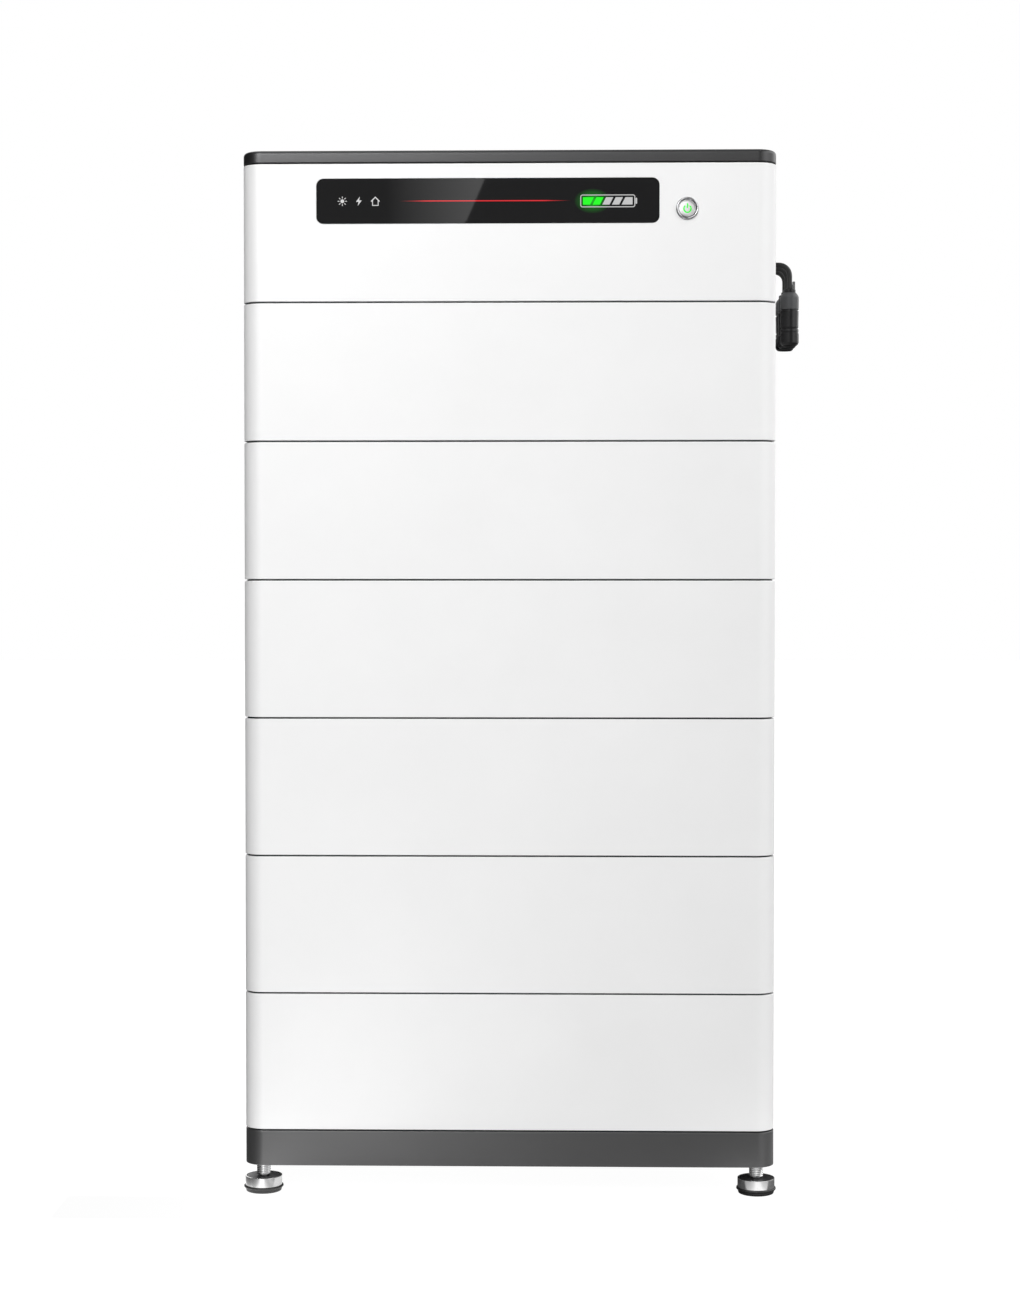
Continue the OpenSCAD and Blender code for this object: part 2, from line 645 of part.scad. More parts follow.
// Connector outline from its collar down, radius first
plug_outline = [
    [0, 0], [7, 0], [7, -4.6], [10.4, -5.7], [10.7, -7], [10.7, -21],
    [10.1, -21.8], [10.1, -22.8], [10.6, -23.4], [10, -45], [9.6, -45.8],
    [9.6, -46.6], [10.5, -47.2], [10.5, -63.8], [9.7, -65.3], [0, -65.3]];
module pigtail_plugs() color([0.16, 0.16, 0.17]) for (i = [1:pigtail_count]) {
    tip = pigtail_route[len(pigtail_route) - 1];
    translate([cable_x + gland_l + tip[0], pigtail_y(i), cable_z + tip[1]])
        rotate_extrude() polygon(plug_outline);
}

// ---- every node, by name ----
base_skirt();
base_deck();
base_rails();
foot_nuts();
for (i = [1:4]) foot_stud(i);
for (i = [1:4]) foot_cup(i);
for (i = module_ids) module_case(i);
for (i = module_ids) module_cells(i);
module_covers();
stack_gaskets();
locating_pins();
power_plugs();
power_sockets();
cell_mats();
end_plates();
busbars();
module_boards();
board_trays();
lock_plates();
case_screws();
control_case();
control_floor();
top_lid();
display_glass();
display_carrier();
indicator_board();
button_bezel();
button_cap();
button_switch();
breaker_tray();
breaker_body();
breaker_lever();
breaker_flap();
control_board();
contactors();
main_fuse();
wall_brackets();
cable_glands();
for (i = [1:pigtail_count]) pigtail(i);
pigtail_plugs();
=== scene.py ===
import bpy
import bmesh
import math
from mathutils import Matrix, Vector


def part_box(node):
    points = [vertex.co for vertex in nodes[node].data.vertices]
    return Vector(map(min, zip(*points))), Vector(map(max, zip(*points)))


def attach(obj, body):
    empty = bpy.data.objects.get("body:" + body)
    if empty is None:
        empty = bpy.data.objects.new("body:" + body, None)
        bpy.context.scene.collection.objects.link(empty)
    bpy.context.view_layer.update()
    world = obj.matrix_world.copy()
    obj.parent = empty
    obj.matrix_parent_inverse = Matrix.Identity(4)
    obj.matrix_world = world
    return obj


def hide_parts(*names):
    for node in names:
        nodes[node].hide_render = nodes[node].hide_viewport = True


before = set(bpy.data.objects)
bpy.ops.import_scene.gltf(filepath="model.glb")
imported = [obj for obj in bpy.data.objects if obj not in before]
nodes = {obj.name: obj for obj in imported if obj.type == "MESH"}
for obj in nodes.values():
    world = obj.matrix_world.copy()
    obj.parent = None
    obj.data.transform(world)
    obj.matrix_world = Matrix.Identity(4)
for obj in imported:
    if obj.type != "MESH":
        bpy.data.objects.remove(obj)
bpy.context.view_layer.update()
mm = 0.001


# camera
camera = {"x": 60.8, "y": -2888, "z": 687.4, "turn": 1.262, "tip": 1.452, "lens": 66.57}


def placeCamera():
    bpy.ops.object.camera_add(location=(camera["x"] * mm, camera["y"] * mm, camera["z"] * mm))
    cam = bpy.context.object
    cam.name = "viewCamera"
    cam.rotation_euler = (math.radians(90 - camera["tip"]), 0, math.radians(camera["turn"]))
    cam.data.sensor_width = 36
    cam.data.lens = camera["lens"]
    cam.data.clip_end = 60
    cam.data.dof.use_dof = False
    bpy.context.scene.camera = cam


placeCamera()
print("camera placed")


# modelling helpers
def clearPick():
    if bpy.context.object and bpy.context.object.mode != "OBJECT":
        bpy.ops.object.mode_set(mode="OBJECT")
    bpy.ops.object.select_all(action="DESELECT")


def pickOnly(piece):
    clearPick()
    piece.select_set(True)
    bpy.context.view_layer.objects.active = piece


def settle(piece):
    # place and size go into the mesh, the object stays at the origin
    pickOnly(piece)
    bpy.ops.object.transform_apply(location=True, rotation=True, scale=True)
    return piece


def addBlock(name, low, high):
    clearPick()
    middle = [(a + b) / 2 * mm for a, b in zip(low, high)]
    size = [(b - a) * mm for a, b in zip(low, high)]
    bpy.ops.mesh.primitive_cube_add(size=1, location=middle, scale=size)
    piece = bpy.context.object
    piece.name = name
    return settle(piece)


def bevelWhere(piece, test, width, segments):
    # test takes the two ends of an edge, in millimetres
    pickOnly(piece)
    bpy.ops.object.mode_set(mode="EDIT")
    bpy.ops.mesh.select_mode(type="EDGE")
    bpy.ops.mesh.select_all(action="DESELECT")
    mesh = bmesh.from_edit_mesh(piece.data)
    for edge in mesh.edges:
        a, b = (v.co / mm for v in edge.verts)
        if test(a, b):
            edge.select_set(True)
    bmesh.update_edit_mesh(piece.data)
    bpy.ops.mesh.bevel(offset=width * mm, segments=segments, affect="EDGES", clamp_overlap=True)
    bpy.ops.object.mode_set(mode="OBJECT")
    return piece


def near(a, b):
    return abs(a - b) < 0.02


def upright(a, b):
    return near(a.x, b.x) and near(a.y, b.y)


def alongX(a, b):
    return near(a.y, b.y) and near(a.z, b.z)


def alongY(a, b):
    return near(a.x, b.x) and near(a.z, b.z)


def levelAt(z):
    return lambda a, b: near(a.z, z) and near(b.z, z)


def levelFront(y):
    return lambda a, b: near(a.y, y) and near(b.y, y)


def softEdges(piece, width, segments=2, angle=30):
    pickOnly(piece)
    soft = piece.modifiers.new("soft edges", "BEVEL")
    soft.width = width * mm
    soft.segments = segments
    soft.limit_method = "ANGLE"
    soft.angle_limit = math.radians(angle)
    bpy.ops.object.modifier_apply(modifier=soft.name)
    return piece


def cutAway(piece, *cutters, keep=False):
    for cutter in cutters:
        pickOnly(piece)
        cut = piece.modifiers.new("cut", "BOOLEAN")
        cut.operation = "DIFFERENCE"
        cut.solver = "EXACT"
        cut.object = cutter
        bpy.ops.object.modifier_apply(modifier=cut.name)
        if not keep:
            bpy.data.objects.remove(cutter)
    return piece


def joined(name, pieces):
    clearPick()
    for piece in pieces:
        piece.select_set(True)
    bpy.context.view_layer.objects.active = pieces[0]
    if len(pieces) > 1:
        bpy.ops.object.join()
    whole = bpy.context.object
    whole.name = name
    return whole


def copied(piece, name, shift=(0, 0, 0), mirrorX=False):
    pickOnly(piece)
    bpy.ops.object.duplicate()
    twin = bpy.context.object
    twin.name = name
    twin.location = [s * mm for s in shift]
    if mirrorX:
        twin.scale.x = -1
    settle(twin)
    if mirrorX:
        turnFacesOut(twin)
    return twin


def turnFacesOut(piece):
    pickOnly(piece)
    bpy.ops.object.mode_set(mode="EDIT")
    bpy.ops.mesh.select_all(action="SELECT")
    bpy.ops.mesh.normals_make_consistent(inside=False)
    bpy.ops.object.mode_set(mode="OBJECT")


turns = {"Z": (0, 0, 0), "-Z": (math.pi, 0, 0), "Y": (-math.pi / 2, 0, 0), "-Y": (math.pi / 2, 0, 0),
         "X": (0, math.pi / 2, 0), "-X": (0, -math.pi / 2, 0)}


def addChain(name, points):
    # corners joined by edges, left picked in edit mode
    clearPick()
    bpy.ops.mesh.primitive_plane_add(size=1)
    piece = bpy.context.object
    piece.name = name
    bpy.ops.object.mode_set(mode="EDIT")
    bpy.ops.mesh.select_mode(type="VERT")
    bpy.ops.mesh.select_all(action="SELECT")
    bpy.ops.mesh.merge(type="CENTER")
    bpy.ops.transform.translate(value=[c * mm for c in points[0]])
    for here, there in zip(points, points[1:]):
        step = [(b - a) * mm for a, b in zip(here, there)]
        bpy.ops.mesh.extrude_vertices_move(TRANSFORM_OT_translate={"value": step})
    bpy.ops.mesh.select_all(action="SELECT")
    bpy.ops.mesh.remove_doubles(threshold=0.000001)
    bpy.ops.mesh.select_all(action="SELECT")
    return piece


def addTurned(name, outline, place, axis="Z", steps=48, sweep=360):
    # the outline is a chain of (radius, height) corners, spun round the axis
    piece = addChain(name, [(radius, 0, height) for radius, height in outline])
    bpy.ops.mesh.spin(steps=steps, angle=math.radians(sweep), center=(0, 0, 0), axis=(0, 0, 1))
    bpy.ops.mesh.select_all(action="SELECT")
    bpy.ops.mesh.remove_doubles(threshold=0.000001)
    if sweep < 360:
        bpy.ops.mesh.select_all(action="DESELECT")
        bpy.ops.mesh.select_mode(type="EDGE")
        bpy.ops.mesh.select_non_manifold()
        bpy.ops.mesh.edge_face_add()
    bpy.ops.mesh.select_all(action="SELECT")
    bpy.ops.mesh.normals_make_consistent(inside=False)
    bpy.ops.object.mode_set(mode="OBJECT")
    piece.rotation_euler = turns[axis]
    piece.location = [p * mm for p in place]
    return settle(piece)


def addDrum(name, radius, length, place, axis="Z", steps=48, soft=0.3):
    outline = [(0, 0), (radius - soft, 0), (radius, soft), (radius, length - soft), (radius - soft, length),
               (0, length)]
    return addTurned(name, outline, place, axis, steps)


def addPrism(name, corners, low, high):
    # a flat outline of (x, z) corners, pushed along Y
    piece = addChain(name, [(x, low, z) for x, z in corners])
    bpy.ops.mesh.edge_face_add()
    bpy.ops.mesh.select_all(action="SELECT")
    bpy.ops.mesh.extrude_region_move(TRANSFORM_OT_translate={"value": (0, (high - low) * mm, 0)})
    bpy.ops.mesh.select_all(action="SELECT")
    bpy.ops.mesh.normals_make_consistent(inside=False)
    bpy.ops.object.mode_set(mode="OBJECT")
    return piece


def boxOf(node):
    low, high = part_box(node)
    return [v / mm for v in low], [v / mm for v in high]


def middleOf(low, high):
    return [(a + b) / 2 for a, b in zip(low, high)]


def finished(piece, material, body="root", stands=(), smooth=35):
    pickOnly(piece)
    bpy.ops.object.shade_smooth_by_angle(angle=math.radians(smooth))
    even = piece.modifiers.new("even shading", "WEIGHTED_NORMAL")
    even.keep_sharp = True
    bpy.ops.object.modifier_apply(modifier=even.name)
    piece.data.materials.clear()
    piece.data.materials.append(material)
    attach(piece, body)
    if stands:
        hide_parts(*stands)
    return piece


# materials
def shaderOf(material):
    return material.node_tree.nodes["Principled BSDF"]


def setSockets(node, **values):
    for socket, value in values.items():
        node.inputs[socket.replace("_", " ")].default_value = value


def newMaterial(name, color, rough, metal=0.0, **sockets):
    material = bpy.data.materials.new(name)
    material.use_nodes = True
    setSockets(shaderOf(material), Base_Color=(*color, 1), Roughness=rough, Metallic=metal, **sockets)
    return material


def addNode(material, kind, **values):
    node = material.node_tree.nodes.new(kind)
    for name, value in values.items():
        if name.replace("_", " ") in node.inputs:
            setSockets(node, **{name: value})
        else:
            setattr(node, name, value)
    return node


def link(material, out, into):
    material.node_tree.links.new(out, into)


def noiseOn(material, scale, detail=3.0, stretch=(1, 1, 1), rough=0.55):
    place = addNode(material, "ShaderNodeTexCoord")
    mapping = addNode(material, "ShaderNodeMapping", Scale=stretch)
    noise = addNode(material, "ShaderNodeTexNoise", Scale=scale, Detail=detail, Roughness=rough)
    link(material, place.outputs["Object"], mapping.inputs["Vector"])
    link(material, mapping.outputs["Vector"], noise.inputs["Vector"])
    return noise


def bumpFrom(material, source, strength, depth):
    shader = shaderOf(material)
    bump = addNode(material, "ShaderNodeBump", Strength=strength, Distance=depth * mm)
    link(material, source, bump.inputs["Height"])
    link(material, bump.outputs["Normal"], shader.inputs["Normal"])
    return bump


def spread(material, source, low, high, into):
    # turns a 0..1 pattern into a range of values on a socket
    band = addNode(material, "ShaderNodeMapRange", From_Min=0.3, From_Max=0.7, To_Min=low, To_Max=high)
    link(material, source, band.inputs["Value"])
    link(material, band.outputs["Result"], shaderOf(material).inputs[into])


def tint(material, source, low, high):
    ramp = addNode(material, "ShaderNodeValToRGB")
    ramp.color_ramp.elements[0].position = 0.3
    ramp.color_ramp.elements[1].position = 0.7
    ramp.color_ramp.elements[0].color = (*low, 1)
    ramp.color_ramp.elements[1].color = (*high, 1)
    link(material, source, ramp.inputs["Fac"])
    link(material, ramp.outputs["Color"], shaderOf(material).inputs["Base Color"])


def powderCoat(name, light, dark, grain, rough):
    material = newMaterial(name, light, rough)
    fine = noiseOn(material, 900, 2.0)
    bumpFrom(material, fine.outputs["Fac"], 0.25, grain)
    broad = noiseOn(material, 9, 3.0)
    tint(material, broad.outputs["Fac"], dark, light)
    spread(material, fine.outputs["Fac"], rough - 0.05, rough + 0.05, "Roughness")
    return material


def plastic(name, light, dark, rough=0.5, grain=0.03):
    material = newMaterial(name, light, rough)
    fine = noiseOn(material, 1400, 2.0)
    bumpFrom(material, fine.outputs["Fac"], 0.3, grain)
    broad = noiseOn(material, 40, 2.0)
    tint(material, broad.outputs["Fac"], dark, light)
    spread(material, fine.outputs["Fac"], rough - 0.06, rough + 0.08, "Roughness")
    return material


def metalSheen(name, light, dark, rough=0.28, stretch=(1, 1, 14), scale=260):
    material = newMaterial(name, light, rough, 1.0)
    brushed = noiseOn(material, scale, 3.0, stretch)
    spread(material, brushed.outputs["Fac"], rough - 0.06, rough + 0.08, "Roughness")
    tint(material, brushed.outputs["Fac"], dark, light)
    bumpFrom(material, brushed.outputs["Fac"], 0.08, 0.006)
    return material


def zincPlate(name):
    material = newMaterial(name, (0.62, 0.63, 0.65), 0.4, 1.0)
    place = addNode(material, "ShaderNodeTexCoord")
    flakes = addNode(material, "ShaderNodeTexVoronoi", Scale=220.0)
    link(material, place.outputs["Object"], flakes.inputs["Vector"])
    tint(material, flakes.outputs["Color"], (0.57, 0.58, 0.59), (0.67, 0.68, 0.69))
    cloud = noiseOn(material, 90, 3.0)
    spread(material, cloud.outputs["Fac"], 0.3, 0.5, "Roughness")
    return material


def circuitBoard(name):
    material = newMaterial(name, (0.02, 0.16, 0.07), 0.35)
    place = addNode(material, "ShaderNodeTexCoord")
    tracks = addNode(material, "ShaderNodeTexBrick", Scale=90.0, Color1=(0.015, 0.15, 0.06, 1),
                     Color2=(0.02, 0.2, 0.09, 1), Mortar=(0.05, 0.32, 0.15, 1))
    link(material, place.outputs["Object"], tracks.inputs["Vector"])
    link(material, tracks.outputs["Color"], shaderOf(material).inputs["Base Color"])
    bumpFrom(material, tracks.outputs["Fac"], 0.4, 0.05)
    return material


def glowing(name, color, strength):
    # a lit sign, with light that varies a little over it
    material = newMaterial(name, (0.01, 0.01, 0.01), 0.5, Specular_IOR_Level=0.1, Emission_Color=(*color, 1),
                           Emission_Strength=strength)
    grain = noiseOn(material, 700, 2.0)
    spread(material, grain.outputs["Fac"], 0.45, 0.55, "Roughness")
    return material


def fadeAcross(name, color, strength, middle, reach, flat=0.35, halfway=0.5):
    # light that fades out from the middle of a piece
    material = newMaterial(name, (0.0143, 0.0143, 0.0147), 0.015, Emission_Strength=strength)
    place = addNode(material, "ShaderNodeTexCoord")
    size = [1 / (r * mm) for r in reach]
    mapping = addNode(material, "ShaderNodeMapping", vector_type="POINT",
                      Location=[-m * mm * s for m, s in zip(middle, size)], Scale=size)
    ball = addNode(material, "ShaderNodeTexGradient", gradient_type="SPHERICAL")
    ramp = addNode(material, "ShaderNodeValToRGB")
    ramp.color_ramp.elements[0].color = (0, 0, 0, 1)
    ramp.color_ramp.elements[1].color = (*color, 1)
    ramp.color_ramp.elements[1].position = 1 - flat
    middling = ramp.color_ramp.elements.new((1 - flat) / 2)
    middling.color = [c * halfway for c in color] + [1]
    link(material, place.outputs["Object"], mapping.inputs["Vector"])
    link(material, mapping.outputs["Vector"], ball.inputs["Vector"])
    link(material, ball.outputs["Fac"], ramp.inputs["Fac"])
    link(material, ramp.outputs["Color"], shaderOf(material).inputs["Emission Color"])
    return material


whiteCoat = powderCoat("whiteCoat", (0.82, 0.82, 0.82), (0.8, 0.8, 0.8), 0.04, 0.45)
darkCoat = powderCoat("darkCoat", (0.135, 0.135, 0.136), (0.127, 0.127, 0.128), 0.02, 0.38)
# the lid's coat is the dark coat made darker: painted shade, since the lid catches more of the room's light than the
# base
lidCoatPaintedShade = powderCoat("lidCoatPaintedShade", (0.064, 0.064, 0.065), (0.059, 0.059, 0.06), 0.02, 0.38)
setSockets(shaderOf(whiteCoat), Specular_IOR_Level=0.8)
for coat in (darkCoat, lidCoatPaintedShade):
    setSockets(shaderOf(coat), Metallic=0.85)
blackRubber = plastic("blackRubber", (0.014, 0.014, 0.014), (0.009, 0.009, 0.009), 0.5)
blackPlastic = plastic("blackPlastic", (0.03, 0.03, 0.032), (0.022, 0.022, 0.024), 0.42)
connectorGrey = plastic("connectorGrey", (0.085, 0.087, 0.09), (0.07, 0.072, 0.075), 0.36)
latchGrey = plastic("latchGrey", (0.2, 0.2, 0.2), (0.15, 0.15, 0.15), 0.4)
sleeveBlack = plastic("sleeveBlack", (0.013, 0.013, 0.014), (0.009, 0.009, 0.0095), 0.3)
orangePlastic = plastic("orangePlastic", (0.8, 0.25, 0.03), (0.7, 0.2, 0.02))
lightPlastic = plastic("lightPlastic", (0.72, 0.72, 0.7), (0.66, 0.66, 0.64))
greyFoam = plastic("greyFoam", (0.16, 0.165, 0.175), (0.12, 0.125, 0.13), 0.85, 0.2)
ceramicGlaze = plastic("ceramicGlaze", (0.78, 0.76, 0.7), (0.72, 0.7, 0.64), 0.2, 0.01)
polishedSteel = metalSheen("polishedSteel", (0.62, 0.62, 0.62), (0.57, 0.57, 0.57), 0.17, (1, 1, 0.02), 160)
studSteel = metalSheen("studSteel", (0.78, 0.78, 0.78), (0.72, 0.72, 0.72), 0.22, (1, 1, 0.02), 160)
millAluminium = metalSheen("millAluminium", (0.76, 0.77, 0.78), (0.66, 0.67, 0.69), 0.36, (1, 14, 1))
bareCopper = metalSheen("bareCopper", (0.86, 0.45, 0.26), (0.7, 0.34, 0.18), 0.3, (14, 1, 1))
chromeRing = metalSheen("chromeRing", (0.5, 0.5, 0.51), (0.45, 0.45, 0.46), 0.18, (1, 1, 1), 60)
satinSteel = metalSheen("satinSteel", (0.66, 0.66, 0.66), (0.62, 0.62, 0.62), 0.45, (14, 1, 1), 500)
zinc = zincPlate("zinc")
boardGreen = circuitBoard("boardGreen")
cellFilm = plastic("cellFilm", (0.03, 0.14, 0.42), (0.02, 0.1, 0.34), 0.28, 0.02)
for moulding in (connectorGrey, sleeveBlack, latchGrey):
    setSockets(shaderOf(moulding), Specular_IOR_Level=0.3)
print("materials mixed")

plainNodes = {
    zinc: ["base_rails", "foot_nuts", "module_covers", "locating_pins", "board_trays", "control_floor",
           "case_screws"],
    darkCoat: ["base_deck"],
    blackRubber: ["stack_gaskets"],
    blackPlastic: ["power_plugs", "display_carrier", "button_switch", "contactors"],
    orangePlastic: ["power_sockets"],
    greyFoam: ["cell_mats"],
    millAluminium: ["end_plates"],
    bareCopper: ["busbars"],
    boardGreen: ["module_boards", "indicator_board", "control_board"],
    ceramicGlaze: ["main_fuse"],
    cellFilm: [name for name in nodes if name.endswith("_cells")],
}
for material, names in plainNodes.items():
    for name in names:
        nodes[name].data.materials.clear()
        nodes[name].data.materials.append(material)


# cases
case = {"corner": 22, "edge": 0.7, "wall": 1.5, "cornerSteps": 14, "shadow": 0.25}


def addRoundedCase(name, low, high, bottomEdge=None, topEdge=None, topSteps=3):
    piece = addBlock(name, low, high)
    bevelWhere(piece, upright, case["corner"], case["cornerSteps"])
    bevelWhere(piece, levelAt(low[2]), bottomEdge or case["edge"], 3)
    bevelWhere(piece, levelAt(high[2]), topEdge or case["edge"], topSteps)
    return piece


def addHollow(low, high, floor, ceiling):
    wall = case["wall"]
    hollow = addBlock("hollow", (low[0] + wall, low[1] + wall, floor), (high[0] - wall, high[1] - wall, ceiling))
    return bevelWhere(hollow, upright, case["corner"] - wall, case["cornerSteps"])


grip = {"width": 110, "height": 34, "depth": 24, "rise": 104, "radius": 7, "lip": 3.2, "proud": 0.8, "wall": 1.2,
        "slack": 0.15, "mouth": 1.4}


def gripBlock(low, high, side, grow):
    # the block that a grip pocket takes up, larger by grow all round
    outer = high[0] if side > 0 else low[0]
    inside, outside = outer - side * (grip["depth"] + grow), outer + side * (1 if grow <= 0 else -case["wall"] / 2)
    return gripPlate("gripBlock", low, high, inside, outside, grow, 5)


def gripPlate(name, low, high, x0, x1, grow, steps):
    y, z = (low[1] + high[1]) / 2, low[2] + grip["rise"]
    halfWidth, halfHeight = grip["width"] / 2 + grow, grip["height"] / 2 + grow
    piece = addBlock(name, (min(x0, x1), y - halfWidth, z - halfHeight), (max(x0, x1), y + halfWidth, z + halfHeight))
    return bevelWhere(piece, alongX, grip["radius"] + grow, steps)


def addGripLiner(low, high, side):
    # a moulded cup pressed into the pocket, with a thin lip on the panel
    outer = high[0] if side > 0 else low[0]
    cup = gripBlock(low, high, side, -grip["slack"])
    lip = gripPlate("gripLip", low, high, outer, outer + side * grip["proud"], grip["lip"], 6)
    inner = gripBlock(low, high, side, -grip["slack"] - grip["wall"])
    cutAway(cup, inner, gripPlate("gripMouth", low, high, outer - 3, outer + 3, -grip["mouth"], 5))
    cutAway(lip, gripPlate("gripMouth", low, high, outer - 3, outer + 3, -grip["mouth"], 5))
    softEdges(lip, 0.3)
    return joined("gripLiner", [cup, lip])


def caseBox(node):
    # the folded edges fall away a little above and below each seam
    low, high = boxOf(node)
    return [low[0], low[1], low[2] + case["shadow"]], [high[0], high[1], high[2] - case["shadow"]]


def buildModules():
    low, high = caseBox("module_1_case")
    shell = addRoundedCase("moduleShell_1", low, high)
    hollow = addHollow(low, high, low[2] + case["wall"], high[2] + 5)
    cutAway(hollow, gripBlock(low, high, -1, case["wall"]), gripBlock(low, high, 1, case["wall"]))
    cutAway(shell, hollow, gripBlock(low, high, -1, 0), gripBlock(low, high, 1, 0))
    liner = joined("gripLiners_1", [addGripLiner(low, high, -1), addGripLiner(low, high, 1)])
    count = len([name for name in nodes if name.startswith("module_") and name.endswith("_case")])
    for i in range(2, count + 1):
        rise = caseBox(f"module_{i}_case")[0][2] - low[2]
        finished(copied(shell, f"moduleShell_{i}", (0, 0, rise)), whiteCoat,
                 stands=[f"module_{i}_case"])
        finished(copied(liner, f"gripLiners_{i}", (0, 0, rise)), blackPlastic)
    finished(shell, whiteCoat, stands=["module_1_case"])
    finished(liner, blackPlastic)
    print("battery modules built:", count)


base = {"flange": 9.5, "slotSteps": 8}


def buildBase():
    low, high = boxOf("base_skirt")
    skirt = addRoundedCase("baseSkirt", low, high)
    cutAway(skirt, addHollow(low, high, low[2] + case["wall"], high[2] + 5))
    flange = base["flange"]
    mouth = addBlock("mouth", (low[0] + flange, low[1] + flange, low[2] - 5),
                     (high[0] - flange, high[1] - flange, low[2] + 5))
    bevelWhere(mouth, upright, case["corner"] - flange, base["slotSteps"])
    cutAway(skirt, mouth)
    finished(skirt, darkCoat, stands=["base_skirt"])
    print("base built")


lid = {"edge": 4.5, "bottomEdge": 0.8, "rim": 4}


def buildLid():
    low, high = boxOf("top_lid")
    bottom = boxOf("control_case")[1][2] + 1
    cap = addRoundedCase("topLid", (low[0], low[1], bottom), high, lid["bottomEdge"], lid["edge"], 6)
    rim = addBlock("lidRim", (low[0] + lid["rim"], low[1] + lid["rim"], low[2]),
                   (high[0] - lid["rim"], high[1] - lid["rim"], bottom + 0.5))
    bevelWhere(rim, upright, case["corner"] - lid["rim"], 10)
    # the lid takes the darker copy of the dark coat, painted shade
    finished(joined("topLid", [cap, rim]), lidCoatPaintedShade, stands=["top_lid"])
    print("lid built")


panel = {"corner": 8, "edge": 0.35, "gap": 0.2, "buttonHole": 11.2}
hatch = {"wall": 4, "flange": 4, "slack": 0.2, "flangeBehind": (7.9, 4.9), "floor": 3.7, "corner": 1.5,
         "noseHole": (27.3, 22.8), "noseHeight": 45, "noseLength": 10, "poleSeam": 9, "seamWidth": 0.5}


def roundedPlate(name, low, high, radius, steps=8):
    return bevelWhere(addBlock(name, low, high), alongY, radius, steps)


def buildControlCase():
    low, high = caseBox("control_case")
    shell = addRoundedCase("controlShell", low, high)
    cutAway(shell, addHollow(low, high, low[2] - 5, high[2] + 5))
    glassLow, glassHigh = boxOf("display_glass")
    gap = panel["gap"]
    window = roundedPlate("window", (glassLow[0] - gap, low[1] - 3, glassLow[2] - gap),
                          (glassHigh[0] + gap, low[1] + 5, glassHigh[2] + gap), panel["corner"] + gap)
    x, z = middleOf(*boxOf("button_bezel"))[::2]
    buttonHole = addDrum("buttonHole", panel["buttonHole"], 12, (x, low[1] - 5, z), "Y")
    trayLow, trayHigh = boxOf("breaker_tray")
    inset = hatch["flange"] - hatch["slack"]
    hatchHole = addBlock("hatchHole", (high[0] - 4, trayLow[1] + inset, trayLow[2] + inset),
                         (high[0] + 5, trayHigh[1] - inset, trayHigh[2] - inset))
    cutAway(shell, window, buttonHole, hatchHole)
    finished(shell, whiteCoat, stands=["control_case"])
    print("control unit case built")


buildModules()
buildBase()
buildLid()
buildControlCase()


# display
signs = {"proud": 0.05, "thick": 0.12}
statusLine = {"low": -125, "high": 71, "z": 1121.6, "thick": 1.15, "point": 30}
# haze is how far the painted green glow reaches past the lit bars
charge = {"low": (79.9, 1113.9), "high": (141.3, 1128.1), "wall": 1.0, "radius": 2.6, "bars": 5, "lit": 2,
          "barLow": (82.9, 1116.9), "barHigh": (138.3, 1125.1), "gap": 2.8, "lean": 4.2, "nub": (1.8, 3.4),
          "haze": 10}


def signAt(name, corners, depth=0.0):
    front = boxOf("display_glass")[0][1]
    return addPrism(name, corners, front - signs["proud"] - depth, front + signs["thick"] - signs["proud"])


